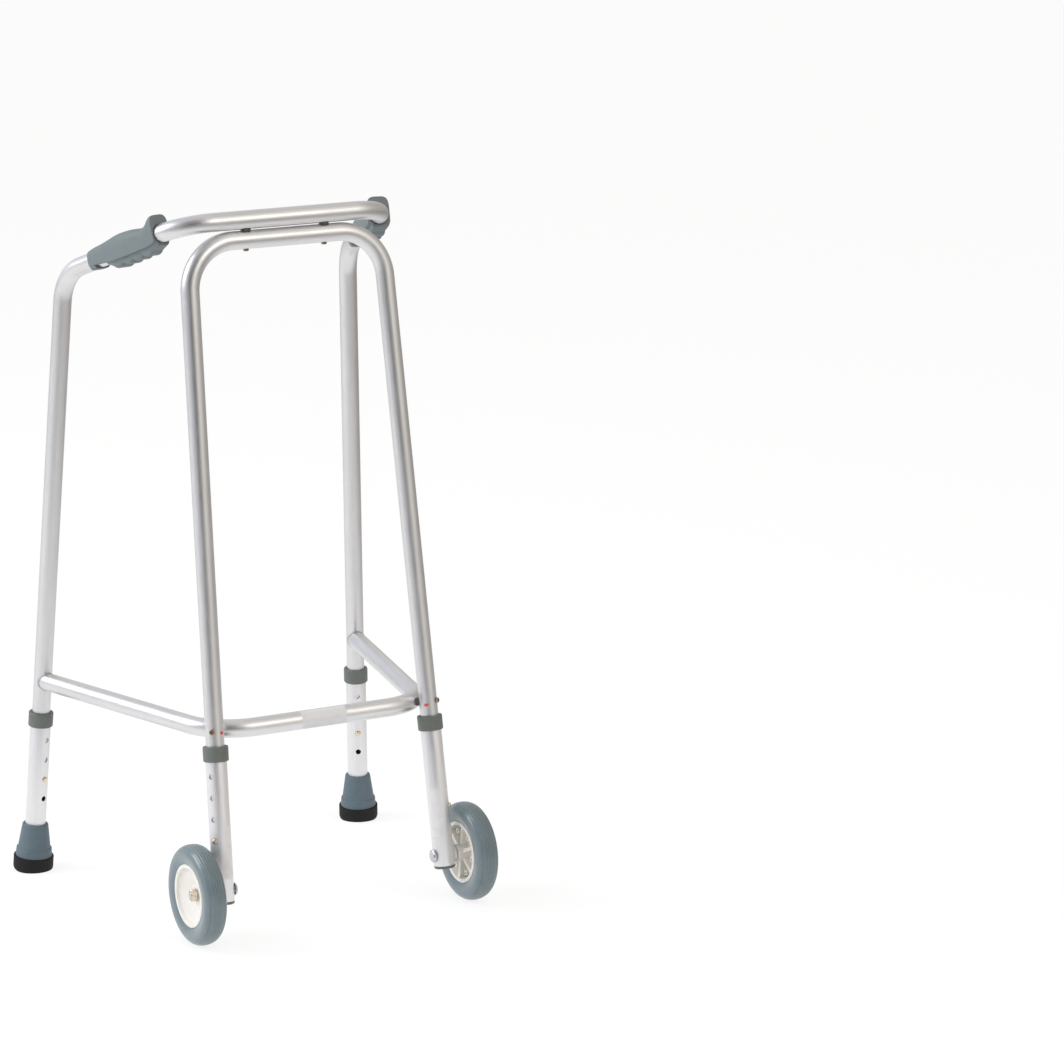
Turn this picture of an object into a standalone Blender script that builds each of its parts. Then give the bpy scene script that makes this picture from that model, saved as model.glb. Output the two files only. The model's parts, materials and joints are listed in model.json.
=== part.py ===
# Wheeled walking frame of bent aluminium tube, with four telescopic legs, two wheels and two rubber feet.
#
# Lengths are in metres. X runs across the frame, -Y is the front, where the wheels are, and Z is up.
# Right and left are the user's, who stands at +Y and faces -Y, so the right side is at -X.
# The origin lies on the floor, in the middle of the frame's width and depth.

import math

import bmesh
import bpy
from mathutils import Matrix, Vector

# Tube sizes
TUBE_DIAMETER = 0.0222
TUBE_WALL = 0.0015
LEG_WALL = 0.0013
SLIDE_GAP = 0.0003  # between a frame tube and the leg tube that slides over it
FIT_GAP = 0.0003  # between pieces that touch each other
BORE_GAP = 0.0003  # between a pin and the hole around it
TUBE_SIDES = 18
BEND_STEPS = 6
SCREW_SIDES = 12
HOLE_SIDES = 10

# Frame corners: half widths, depths behind the front legs' floor points, and heights
REAR_FOOT_X = 0.2275
REAR_FOOT_Y = 0.3955
REAR_TOP_X = 0.1907
REAR_TOP_Y = 0.3280
REAR_TOP_Z = 0.7557
CROSSBAR_X = 0.1335
CROSSBAR_Y = 0.1115
CROSSBAR_Z = 0.8364
FRONT_FOOT_X = 0.1485
FRONT_TOP_X = 0.1262
HANDLE_BEND = 0.0540
FRONT_BEND = 0.0580
BRACE_BEND = 0.0640
BRACE_HEIGHT = 0.2445

# Telescopic legs, measured along each leg from the floor
HOLE_PITCH = 0.0254
HOLE_COUNT = 4
HOLE_DIAMETER = 0.0068
REAR_LOW_HOLE = 0.0950
REAR_STEP = 1  # the rear legs stand one hole longer than their shortest
FRONT_LOW_HOLE = 0.1210
FRONT_STEP = 0
REAR_BUTTON_ANGLE = math.radians(-20)  # from straight ahead, outwards
FRONT_BUTTON_ANGLE = math.radians(57)
TUBE_BELOW_BUTTON = 0.0200
LEG_BELOW_BRACE = 0.0174  # from the brace's middle down to the leg tube's top, when the leg is shortest
LEG_BELOW_AXLE = 0.0126

# Collars on the leg tubes' upper ends
COLLAR_HEIGHT = 0.0180
COLLAR_WALL = 0.0022
COLLAR_LIP = 0.0025
COLLAR_ROUND = 0.0010

# Snap buttons and their bent springs
BUTTON_DIAMETER = 0.0062
BUTTON_PROUD = 0.0025
BUTTON_DOME = 0.0016
RIVET_NECK = 0.0016
RIVET_HEAD = 0.0026
RIVET_HEIGHT = 0.0008
SPRING_WIDTH = 0.0070
SPRING_THICKNESS = 0.0007
SPRING_LENGTH = 0.0380
SPRING_TAIL = 0.0080
SPRING_FLAT = 0.0060
SPRING_LOOP = 0.0034

# Rubber feet
FOOT_HEIGHT = 0.0605
FOOT_TOP_RADIUS = 0.0160
FOOT_LOW_RADIUS = 0.0204
FOOT_STEP_RADIUS = 0.0216
FOOT_FLARE_RADIUS = 0.0226
FOOT_STEP_HEIGHT = 0.0290
SOLE_RADIUS = 0.0248
SOLE_HEIGHT = 0.0190
SOLE_REBATE = 0.0025
SOLE_ROUND = 0.0075
SOLE_DEPTH_BELOW = 0.0025  # the turned sole runs on below the floor and is cut flat there
PEG_RADIUS = 0.0080
PEG_LENGTH = 0.0060
FOOT_FLOOR = 0.0095  # rubber between the sole and the steel washer
FOOT_WASHER = 0.0015
FOOT_SIDES = 24

# Wheels
WHEEL_RADIUS = 0.0600
TYRE_WIDTH = 0.0285
TYRE_BORE = 0.0380
TYRE_BEAD = 0.0115  # half the tyre's width at its bore
TYRE_RIDGE = 0.0027
TYRE_RIDGE_WIDTH = 0.0100
WHEEL_X = 0.1803
HUB_WIDTH = 0.0244
HUB_RIM = 0.0018
HUB_WEB = 0.0026
HUB_DISH = 0.0110
HUB_BOSS_RADIUS = 0.0105
HUB_RIB_COUNT = 6
HUB_RIB_WIDTH = 0.0042
HUB_RIB_RECESS = 0.0020
HUB_RIB_TURN = 22  # degrees that the ribs have turned from upright
WHEEL_SIDES = 32

# Axles
AXLE_DIAMETER = 0.0080
AXLE_HEAD_RADIUS = 0.0080
AXLE_HEAD = 0.0036
SLEEVE_WALL = 0.0017
SPACER_RADIUS = 0.0090
SPACER_WALL = 0.0016
WASHER_RADIUS = 0.0074
WASHER = 0.0010
NUT_ACROSS = 0.0130
NUT = 0.0055
BOLT_END = 0.0010
RUNNING_GAP = 0.0003

# Plugs in the front legs' lower ends
PLUG_FLANGE = 0.0030
PLUG_SPIGOT = 0.0060

# Joints between the frame tubes
TOP_GAP = 0.0012
TOP_SCREW_X = 0.0510
TOP_SADDLE_LENGTH = 0.0080
TOP_SADDLE_DEPTH = 0.0110
SCREW_DIAMETER = 0.0050
SCREW_HEAD_RADIUS = 0.0036
SCREW_HEAD = 0.0024
SCREW_NUT_ACROSS = 0.0080
SCREW_NUT = 0.0040
BRACE_GAP = 0.0015
BRACE_SADDLE_WIDTH = 0.0136
BRACE_SADDLE_HEIGHT = 0.0090
BRACE_BOLT_DIAMETER = 0.0060
BRACE_HEAD_RADIUS = 0.0035
BRACE_HEAD = 0.0030
BRACE_SOCKET = 0.0019
BRACE_NUT_ACROSS = 0.0100
BRACE_NUT = 0.0050
END_SADDLE_WALL = 0.0020
END_SADDLE_PROUD = 0.0004
END_SADDLE_TRIM = 0.0045  # how far from the leg's axis its horns are cut off
END_SPIGOT = 0.0150

# Handgrips, measured along the handle from its rear corner, and up and down from the tube's middle
GRIP_START = 0.0665
GRIP_END = 0.1985
GRIP_FLARE = 0.0005  # its bore opens a little where the tube begins to bend
GRIP_FLARE_LENGTH = 0.0050
GRIP_BELLY = 0.0122
GRIP_CORNER = 2.8  # how square the upper side's corners are
GRIP_HORN_CORNER = 3.8
GRIP_HORN_FROM = 0.1780
GRIP_EDGE = 0.0018
GRIP_NOTCH_START = 0.0770
GRIP_NOTCH_END = 0.0975
GRIP_NOTCH_DEPTH = 0.0074  # how far below the tube's middle the notch begins at its rear end
GRIP_NOTCH_END_DEPTH = 0.0095
GRIP_STRIP_START = 0.0980
FINGER_FIRST = 0.1190
FINGER_PITCH = 0.0189
FINGER_COUNT = 4
FINGER_LOW = 0.0209
FINGER_VALLEY = 0.0188
GRIP_CHIN = 0.0140
# along the handle, then the height of the grip's upper side
GRIP_TOP = (
    (0.0665, 0.0128),
    (0.0770, 0.0141),
    (0.0910, 0.0148),
    (0.1080, 0.0165),
    (0.1240, 0.0182),
    (0.1380, 0.0180),
    (0.1520, 0.0168),
    (0.1650, 0.0147),
    (0.1740, 0.0139),
    (0.1800, 0.0144),
    (0.1860, 0.0172),
    (0.1905, 0.0212),
    (0.1940, 0.0229),
    (0.1985, 0.0229),
)
# along the handle, then half the grip's width
GRIP_WIDTH = (
    (0.0665, 0.0129),
    (0.1000, 0.0142),
    (0.1400, 0.0152),
    (0.1750, 0.0148),
    (0.1985, 0.0136),
)
# along the handle, then how far down the grip's flat flanks reach
GRIP_FLANK = ((0.0665, 0.0062), (0.0770, 0.0072), (0.0975, 0.0093), (0.1150, 0.0113), (0.1860, 0.0113), (0.1985, 0.0085))
# along the handle, then half the width of what hangs below the flanks, and how much its edges are rounded
GRIP_STRIP = ((0.0665, 0.0106), (0.0770, 0.0106), (0.0975, 0.0086), (0.1985, 0.0090))
GRIP_STRIP_EDGE = ((0.0665, 0.0050), (0.0770, 0.0050), (0.0975, 0.0020), (0.1850, 0.0020), (0.1985, 0.0045))

# Sizes that follow from those above
TUBE_RADIUS = TUBE_DIAMETER / 2
LEG_BORE = TUBE_RADIUS + SLIDE_GAP
LEG_RADIUS = LEG_BORE + LEG_WALL
SIDES = {"right": -1, "left": 1}

# What the pieces are made of: base colour, roughness and metallic
FINISHES = {
    "aluminium": ((0.72, 0.72, 0.73), 0.36, 1.0),
    "leg_aluminium": ((0.76, 0.76, 0.77), 0.42, 1.0),
    "grip": ((0.20, 0.26, 0.27), 0.62, 0.0),
    "collar": ((0.13, 0.155, 0.14), 0.55, 0.0),
    "ferrule": ((0.13, 0.18, 0.21), 0.65, 0.0),
    "sole": ((0.020, 0.020, 0.020), 0.75, 0.0),
    "tyre": ((0.19, 0.26, 0.30), 0.60, 0.0),
    "hub": ((0.80, 0.77, 0.68), 0.40, 0.0),
    "zinc": ((0.62, 0.63, 0.64), 0.30, 1.0),
    "brass": ((0.78, 0.58, 0.26), 0.32, 1.0),
    "spring_steel": ((0.45, 0.46, 0.48), 0.35, 1.0),
    "saddle": ((0.05, 0.055, 0.055), 0.60, 0.0),
}


def start_empty():
    for thing in list(bpy.data.objects):
        bpy.data.objects.remove(thing, do_unlink=True)


def make_finishes():
    made = {}
    for name, (colour, roughness, metallic) in FINISHES.items():
        material = bpy.data.materials.new(name)
        material.use_nodes = True
        shader = material.node_tree.nodes["Principled BSDF"]
        shader.inputs["Base Color"].default_value = (*colour, 1)
        shader.inputs["Roughness"].default_value = roughness
        shader.inputs["Metallic"].default_value = metallic
        made[name] = material
    return made


def add_axis(name, matrix, parent=None):
    """An empty whose Z is the axis that its pieces turn about or slide along."""
    axis = bpy.data.objects.new(name, None)
    axis.empty_display_size = 0.03
    axis.parent = parent
    axis.matrix_local = matrix
    bpy.context.scene.collection.objects.link(axis)
    return axis


def add_piece(name, mesh, finish, parent, matrix=None):
    piece = bpy.data.objects.new(name, mesh)
    piece.parent = parent
    piece.matrix_local = matrix or Matrix.Identity(4)
    bpy.context.scene.collection.objects.link(piece)
    mesh.materials.append(finishes[finish])
    mesh.shade_smooth()
    mesh.set_sharp_from_angle(angle=math.radians(35))
    return piece


def add_guide(name, mesh, parent, matrix=None):
    """A shape that only cuts, or is joined to, other pieces."""
    guide = bpy.data.objects.new(name, mesh)
    guide.parent = parent
    guide.matrix_local = matrix or Matrix.Identity(4)
    guide.hide_render = True
    guide.display_type = "WIRE"
    bpy.context.scene.collection.objects.link(guide)
    return guide


def combine(piece, guide, operation="DIFFERENCE"):
    step = piece.modifiers.new(guide.name, "BOOLEAN")
    step.operation = operation
    step.solver = "EXACT"
    step.object = guide


def axes_at(origin, along, towards):
    """A frame whose Z is along and whose X leans to towards."""
    z = along.normalized()
    x = (towards - z * towards.dot(z)).normalized()
    y = z.cross(x)
    return Matrix.Translation(origin) @ Matrix((x, y, z)).transposed().to_4x4()


def finish_mesh(name, bm):
    bmesh.ops.remove_doubles(bm, verts=bm.verts, dist=1e-6)
    bmesh.ops.recalc_face_normals(bm, faces=bm.faces)
    mesh = bpy.data.meshes.new(name)
    bm.to_mesh(mesh)
    bm.free()
    return mesh


def turned_mesh(name, profile, sides, closed=True):
    """A profile of (radius, height) points spun about Z. An open profile starts and ends on the axis."""
    bm = bmesh.new()
    points = [bm.verts.new((radius, 0, height)) for radius, height in profile]
    for first, second in zip(points, points[1:]):
        bm.edges.new((first, second))
    if closed:
        bm.edges.new((points[-1], points[0]))
    outline = bm.verts[:] + bm.edges[:]
    up = (0, 0, 1)
    bmesh.ops.spin(bm, geom=outline, cent=(0, 0, 0), axis=up, angle=math.tau, steps=sides, use_merge=True)
    return finish_mesh(name, bm)


def rod_mesh(name, radius, low, high, sides=SCREW_SIDES):
    """A round rod, or with six sides a hexagonal one, along Z."""
    bm = bmesh.new()
    middle = Matrix.Translation((0, 0, (low + high) / 2))
    bmesh.ops.create_cone(
        bm, cap_ends=True, segments=sides, radius1=radius, radius2=radius, depth=high - low, matrix=middle
    )
    return finish_mesh(name, bm)


def ring_mesh(name, inner, outer, low, high, sides=16):
    return turned_mesh(name, [(inner, low), (outer, low), (outer, high), (inner, high)], sides)


def block_mesh(name, low, high):
    bm = bmesh.new()
    size = Vector(high) - Vector(low)
    place = Matrix.Translation((Vector(low) + Vector(high)) / 2) @ Matrix.Diagonal((*size, 1))
    bmesh.ops.create_cube(bm, size=1, matrix=place)
    return finish_mesh(name, bm)


def loft_mesh(name, rings):
    """Rings of equally many points, skinned one to the next and the last back to the first."""
    bm = bmesh.new()
    loops = [[bm.verts.new(point) for point in ring] for ring in rings]
    for first, second in zip(loops, loops[1:] + loops[:1]):
        for number, corner in enumerate(first):
            after = (number + 1) % len(first)
            bm.faces.new((corner, first[after], second[after], second[number]))
    bmesh.ops.triangulate(bm, faces=bm.faces)
    return finish_mesh(name, bm)


def nut_mesh(name, across, bore, low, height):
    """A hexagonal nut with a round bore and a chamfered outer end."""
    chamfer = (across / math.sqrt(3) - across / 2) * 0.8
    high = low + height

    def ring(sides, inset, z):
        points = []
        for number in range(SCREW_SIDES):
            angle = math.tau * number / SCREW_SIDES
            radius = bore
            if sides == 6:
                radius = across / 2 if number % 2 else across / math.sqrt(3) - inset
            points.append((radius * math.cos(angle), radius * math.sin(angle), z))
        return points

    rings = [
        ring(SCREW_SIDES, 0, low),
        ring(6, 0, low),
        ring(6, 0, high - chamfer),
        ring(6, chamfer, high),
        ring(SCREW_SIDES, 0, high),
    ]
    return loft_mesh(name, rings)


def rounded_path(corners, bends):
    """Straight runs between corners, with an arc of the given radius at each inner corner."""
    points = [corners[0]]
    for before, corner, after, bend in zip(corners, corners[1:], corners[2:], bends):
        back = (before - corner).normalized()
        ahead = (after - corner).normalized()
        half = back.angle(ahead) / 2
        centre = corner + (back + ahead).normalized() * bend / math.sin(half)
        start = corner + back * bend / math.tan(half) - centre
        turn_axis = back.cross(ahead).normalized()
        for step in range(BEND_STEPS + 1):
            angle = (math.pi - 2 * half) * -step / BEND_STEPS
            points.append(centre + Matrix.Rotation(angle, 3, turn_axis) @ start)
    return points + [corners[-1]]


def path_mesh(name, points, radius, capped):
    """A round skin along a path."""
    curve = bpy.data.curves.new(name, "CURVE")
    curve.dimensions = "3D"
    curve.twist_mode = "MINIMUM"
    curve.bevel_depth = radius
    curve.bevel_resolution = TUBE_SIDES // 2 - 2
    curve.use_fill_caps = capped
    spline = curve.splines.new("POLY")
    spline.points.add(len(points) - 1)
    for place, point in zip(spline.points, points):
        place.co = (*point, 1)
    thing = bpy.data.objects.new(name, curve)
    bpy.context.scene.collection.objects.link(thing)
    skin = thing.evaluated_get(bpy.context.evaluated_depsgraph_get())
    mesh = bpy.data.meshes.new_from_object(skin)
    bpy.data.objects.remove(thing, do_unlink=True)
    bm = bmesh.new()
    bm.from_mesh(mesh)
    return finish_mesh(name, bm)


def add_frame_tube(name, points):
    """A hollow bent tube with open ends."""
    tube = add_piece(name, path_mesh(name, points, TUBE_RADIUS, False), "aluminium", origin)
    wall = tube.modifiers.new("wall", "SOLIDIFY")
    wall.thickness = TUBE_WALL
    wall.offset = -1
    wall.use_even_offset = True
    return tube


def between(table, along):
    """The smooth height that a table of (along, height) points gives."""
    for (start, low), (end, high) in zip(table, table[1:]):
        if along <= end:
            share = (along - start) / (end - start)
            return low + (high - low) * share
    return table[-1][1]


def corner_point(side, x, y, z):
    return Vector((SIDES[side] * x, y, z))


def leg_line(side, end):
    """The floor point of a leg's axis, and its direction upwards."""
    if end == "rear":
        foot = corner_point(side, REAR_FOOT_X, REAR_FOOT_Y, 0)
        top = corner_point(side, REAR_TOP_X, REAR_TOP_Y, REAR_TOP_Z)
    else:
        foot = corner_point(side, FRONT_FOOT_X, 0, 0)
        top = corner_point(side, FRONT_TOP_X, CROSSBAR_Y, front_top_z)
    return foot, (top - foot).normalized()


def leg_point(side, end, height):
    foot, up = leg_line(side, end)
    return foot + up * height / up.z


def along_leg(end, height):
    """How far up a leg's axis a height above the floor lies."""
    return height / leg_line("left", end)[1].z


def leg_axes(side, end):
    """A leg's frame: Z up along the leg, X the way its snap button points."""
    foot, up = leg_line(side, end)
    angle = REAR_BUTTON_ANGLE if end == "rear" else FRONT_BUTTON_ANGLE
    out = Vector((SIDES[side] * math.sin(angle), -math.cos(angle), 0))
    return axes_at(foot, up, out)


def sole_profile():
    """The sole's outer edge, from its rebate's rim down to where it meets the floor."""
    points = [(FOOT_FLARE_RADIUS + FIT_GAP, SOLE_HEIGHT), (SOLE_RADIUS - 0.0004, SOLE_HEIGHT)]
    points.append((SOLE_RADIUS, SOLE_HEIGHT - 0.0006))
    for step in range(4):
        angle = math.radians(80) * step / 3
        inward = SOLE_ROUND * (1 - math.cos(angle))
        points.append((SOLE_RADIUS - inward, SOLE_ROUND - SOLE_DEPTH_BELOW - SOLE_ROUND * math.sin(angle)))
    return points


def frame_middle():
    """How far the middle of the whole frame's depth lies behind the front legs' floor points."""
    front = leg_point("left", "front", WHEEL_RADIUS).y - WHEEL_RADIUS
    foot, up = leg_line("left", "rear")
    spread = math.sqrt(1 - up.y**2)
    rear = max(foot.y + height * up.y + radius * spread for radius, height in sole_profile())
    return (front + rear) / 2


def brace_corner(side):
    """Where the brace's straight runs would meet, and the way from there to the middle of its bend.

    The bend passes inside the front leg, a saddle's thickness away from it.
    """
    leg = leg_point(side, "front", BRACE_HEIGHT)
    rear = leg_point(side, "rear", BRACE_HEIGHT)
    across = Vector((-SIDES[side], 0, 0))
    corner = leg.copy()
    for _ in range(12):
        back = (rear - corner).normalized()
        inward = (back + across).normalized()
        half = back.angle(across) / 2
        centre = leg + inward * (BRACE_BEND + TUBE_DIAMETER + BRACE_GAP)
        corner = centre - inward * BRACE_BEND / math.sin(half)
    return corner, inward


start_empty()
finishes = make_finishes()
front_top_z = CROSSBAR_Z - TUBE_DIAMETER - TOP_GAP
origin = add_axis("frame_origin", Matrix.Translation((0, -frame_middle(), 0)))
step_up = {"rear": REAR_STEP * HOLE_PITCH, "front": FRONT_STEP * HOLE_PITCH}
low_hole = {"rear": REAR_LOW_HOLE, "front": FRONT_LOW_HOLE}
leg_top = {
    end: along_leg(end, BRACE_HEIGHT) - step_up[end] - LEG_BELOW_BRACE for end in ("rear", "front")
}
front_leg_end = along_leg("front", WHEEL_RADIUS) - LEG_BELOW_AXLE
button_height = {end: low_hole[end] + step_up[end] for end in ("rear", "front")}

# Frame tubes
tube_low = {end: button_height[end] - TUBE_BELOW_BUTTON for end in ("rear", "front")}


def upper_end(side, end):
    foot, up = leg_line(side, end)
    return foot + up * tube_low[end]


upper_corners = [
    upper_end("right", "rear"),
    corner_point("right", REAR_TOP_X, REAR_TOP_Y, REAR_TOP_Z),
    corner_point("right", CROSSBAR_X, CROSSBAR_Y, CROSSBAR_Z),
    corner_point("left", CROSSBAR_X, CROSSBAR_Y, CROSSBAR_Z),
    corner_point("left", REAR_TOP_X, REAR_TOP_Y, REAR_TOP_Z),
    upper_end("left", "rear"),
]
upper_tube = add_frame_tube("upper_frame_tube", rounded_path(upper_corners, [HANDLE_BEND] * 4))
front_corners = [
    upper_end("right", "front"),
    corner_point("right", FRONT_TOP_X, CROSSBAR_Y, front_top_z),
    corner_point("left", FRONT_TOP_X, CROSSBAR_Y, front_top_z),
    upper_end("left", "front"),
]
front_tube = add_frame_tube("front_frame_tube", rounded_path(front_corners, [FRONT_BEND] * 2))
brace_corners = [
    leg_point("right", "rear", BRACE_HEIGHT),
    brace_corner("right")[0],
    brace_corner("left")[0],
    leg_point("left", "rear", BRACE_HEIGHT),
]
brace_path = rounded_path(brace_corners, [BRACE_BEND] * 2)
brace_tube = add_frame_tube("lower_brace_tube", brace_path)
brace_room = add_guide("brace_room", path_mesh("brace_room", brace_path, TUBE_RADIUS + FIT_GAP, True), origin)


def add_leg_room(name, radius, low, high, parent):
    """A rod on a leg's axis, for cutting what lies against the leg."""
    return add_guide(name, rod_mesh(name, radius, low, high, TUBE_SIDES), parent)


def add_leg(side, end):
    """A leg tube with its holes, its collar, its snap button and the button's spring."""
    label = f"{end}_{side}"
    axes = leg_axes(side, end)
    frame_axes = add_axis(f"{label}_frame_axis", axes, origin)
    axis = add_axis(f"{label}_leg_slide", axes, origin)
    bottom = FOOT_WASHER + FIT_GAP + washer_low if end == "rear" else front_leg_end
    tube_mesh = ring_mesh(f"{end}_leg_tube_{side}", LEG_BORE, LEG_RADIUS, bottom, leg_top[end], TUBE_SIDES)
    tube = add_piece(f"{end}_leg_tube_{side}", tube_mesh, "leg_aluminium", axis)
    sideways = Matrix.Rotation(math.pi / 2, 4, "Y")
    for number in range(HOLE_COUNT):
        height = low_hole[end] + number * HOLE_PITCH
        drill = rod_mesh("hole", HOLE_DIAMETER / 2, LEG_BORE * 0.7, LEG_RADIUS * 1.2, HOLE_SIDES)
        place = Matrix.Translation((0, 0, height)) @ sideways
        combine(tube, add_guide(f"{label}_hole_{number}", drill, axis, place))
    button_place = Matrix.Translation((0, 0, button_height[end])) @ sideways
    drill = rod_mesh("hole", HOLE_DIAMETER / 2, (TUBE_RADIUS - TUBE_WALL) * 0.7, LEG_BORE, HOLE_SIDES)
    frame_hole = add_guide(f"{label}_frame_hole", drill, frame_axes, button_place)
    combine(upper_tube if end == "rear" else front_tube, frame_hole)
    add_collar(side, end, axis)
    add_button(side, end, frame_axes, button_place)
    return axis, tube


def add_collar(side, end, axis):
    top = leg_top[end] + FIT_GAP + COLLAR_LIP
    low = top - COLLAR_HEIGHT
    inner = LEG_RADIUS + FIT_GAP
    outer = inner + COLLAR_WALL
    lip = LEG_BORE + FIT_GAP
    profile = [
        (inner, low),
        (outer - COLLAR_ROUND, low),
        (outer, low + COLLAR_ROUND),
        (outer, top - COLLAR_ROUND),
        (outer - COLLAR_ROUND, top),
        (lip, top),
        (lip, top - COLLAR_LIP),
        (inner, top - COLLAR_LIP),
    ]
    name = f"{end}_leg_collar_{side}"
    add_piece(name, turned_mesh(name, profile, TUBE_SIDES), "collar", axis)


def spring_outer():
    """How far out the spring's arm lies: its edges just clear the tube's bore."""
    bore = (TUBE_RADIUS - TUBE_WALL) * math.cos(math.pi / TUBE_SIDES) - FIT_GAP
    return math.sqrt(bore**2 - (SPRING_WIDTH / 2) ** 2)


def add_button(side, end, axis, place):
    """A brass button, riveted to a bent spring inside the frame tube."""
    radius = BUTTON_DIAMETER / 2
    arm = spring_outer()
    seat = arm + FIT_GAP
    tip = LEG_RADIUS + BUTTON_PROUD
    under = arm - SPRING_THICKNESS - FIT_GAP
    profile = [
        (0, under - RIVET_HEIGHT),
        (RIVET_HEAD, under - RIVET_HEIGHT),
        (RIVET_HEAD, under),
        (RIVET_NECK, under),
        (RIVET_NECK, seat),
        (radius, seat),
    ]
    for step in range(4):
        angle = math.pi / 2 * step / 3
        profile.append((radius * math.cos(angle), tip - BUTTON_DOME + BUTTON_DOME * math.sin(angle)))
    name = f"snap_button_{end}_{side}"
    add_piece(name, turned_mesh(name, profile, SCREW_SIDES, closed=False), "brass", axis, place)

    middle = arm - SPRING_THICKNESS / 2
    button = button_height[end]
    loop = button + SPRING_LENGTH - SPRING_LOOP
    line = [(middle, button - SPRING_TAIL), (middle, button + SPRING_FLAT)]
    for step in range(6):
        angle = math.pi * step / 5
        line.append((SPRING_LOOP * math.cos(angle), loop + SPRING_LOOP * math.sin(angle)))
    line += [(-middle, button + SPRING_FLAT), (-middle, button - SPRING_TAIL)]
    bm = bmesh.new()
    strip = [bm.verts.new((x, -SPRING_WIDTH / 2, z)) for x, z in line]
    edges = [bm.edges.new(pair) for pair in zip(strip, strip[1:])]
    swept = bmesh.ops.extrude_edge_only(bm, edges=edges)
    moved = [part for part in swept["geom"] if isinstance(part, bmesh.types.BMVert)]
    bmesh.ops.translate(bm, verts=moved, vec=(0, SPRING_WIDTH, 0))
    name = f"button_spring_{end}_{side}"
    spring = add_piece(name, finish_mesh(name, bm), "spring_steel", axis)
    wall = spring.modifiers.new("thickness", "SOLIDIFY")
    wall.thickness = SPRING_THICKNESS
    wall.offset = 0
    wall.use_even_offset = True
    drill = rod_mesh("hole", RIVET_NECK + BORE_GAP, under, seat)
    combine(spring, add_guide(f"{name}_hole", drill, axis, place))


def add_foot(side, axis):
    """A rubber foot on a rear leg: its body, the steel washer inside it, and its black sole."""
    bore = LEG_RADIUS + FIT_GAP
    peg_low = foot_low - PEG_LENGTH
    profile = [
        (0, peg_low),
        (PEG_RADIUS, peg_low),
        (PEG_RADIUS, foot_low),
        (FOOT_FLARE_RADIUS, foot_low),
        (FOOT_FLARE_RADIUS, SOLE_HEIGHT),
        (FOOT_STEP_RADIUS, FOOT_STEP_HEIGHT),
        (FOOT_LOW_RADIUS, FOOT_STEP_HEIGHT + 0.0012),
        (FOOT_TOP_RADIUS, FOOT_HEIGHT - 0.0010),
        (FOOT_TOP_RADIUS - 0.0008, FOOT_HEIGHT),
        (bore, FOOT_HEIGHT),
        (bore, washer_low - FIT_GAP),
        (0, washer_low - FIT_GAP),
    ]
    name = f"foot_ferrule_{side}"
    add_piece(name, turned_mesh(name, profile, FOOT_SIDES, closed=False), "ferrule", axis)
    name = f"foot_washer_{side}"
    washer = ring_mesh(name, LEG_BORE * 0.35, LEG_RADIUS, washer_low, washer_low + FOOT_WASHER)
    add_piece(name, washer, "zinc", axis)

    seat = foot_low - FIT_GAP
    socket = PEG_RADIUS + FIT_GAP
    profile = [(0, -SOLE_DEPTH_BELOW)] + sole_profile()[::-1]
    profile[1] = (profile[1][0], -SOLE_DEPTH_BELOW)
    profile += [
        (FOOT_FLARE_RADIUS + FIT_GAP, seat),
        (socket, seat),
        (socket, peg_low - FIT_GAP),
        (0, peg_low - FIT_GAP),
    ]
    name = f"foot_sole_{side}"
    sole = add_piece(name, turned_mesh(name, profile, FOOT_SIDES, closed=False), "sole", axis)
    reach = SOLE_RADIUS * 2
    foot = leg_line(side, "rear")[0]
    floor_block = block_mesh("floor", (-reach, -reach, -reach), (reach, reach, 0))
    combine(sole, add_guide(f"floor_under_{side}_sole", floor_block, origin, Matrix.Translation(foot)))


def tyre_mesh():
    """The tyre's section: a full round crown and bulging sides, with a ridge inside its bore."""
    name = "tyre"
    half = TYRE_WIDTH / 2
    middle = (WHEEL_RADIUS + TYRE_BORE) / 2 - 0.0015
    high = WHEEL_RADIUS - middle
    low = middle - TYRE_BORE
    profile = []
    for step in range(8):
        angle = math.pi * step / 7
        x, y = math.cos(angle), math.sin(angle)
        profile.append((middle + high * y**0.86, half * math.copysign(abs(x) ** 0.86, x)))
    profile.append((TYRE_BORE + low * 0.45, -half * 0.95))
    profile.append((TYRE_BORE, -TYRE_BEAD))
    ridge = TYRE_RIDGE_WIDTH / 2
    profile += [
        (TYRE_BORE, -ridge),
        (TYRE_BORE - TYRE_RIDGE, -ridge),
        (TYRE_BORE - TYRE_RIDGE, ridge),
        (TYRE_BORE, ridge),
        (TYRE_BORE, TYRE_BEAD),
        (TYRE_BORE + low * 0.45, half * 0.95),
    ]
    return turned_mesh(name, profile, WHEEL_SIDES)


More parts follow.
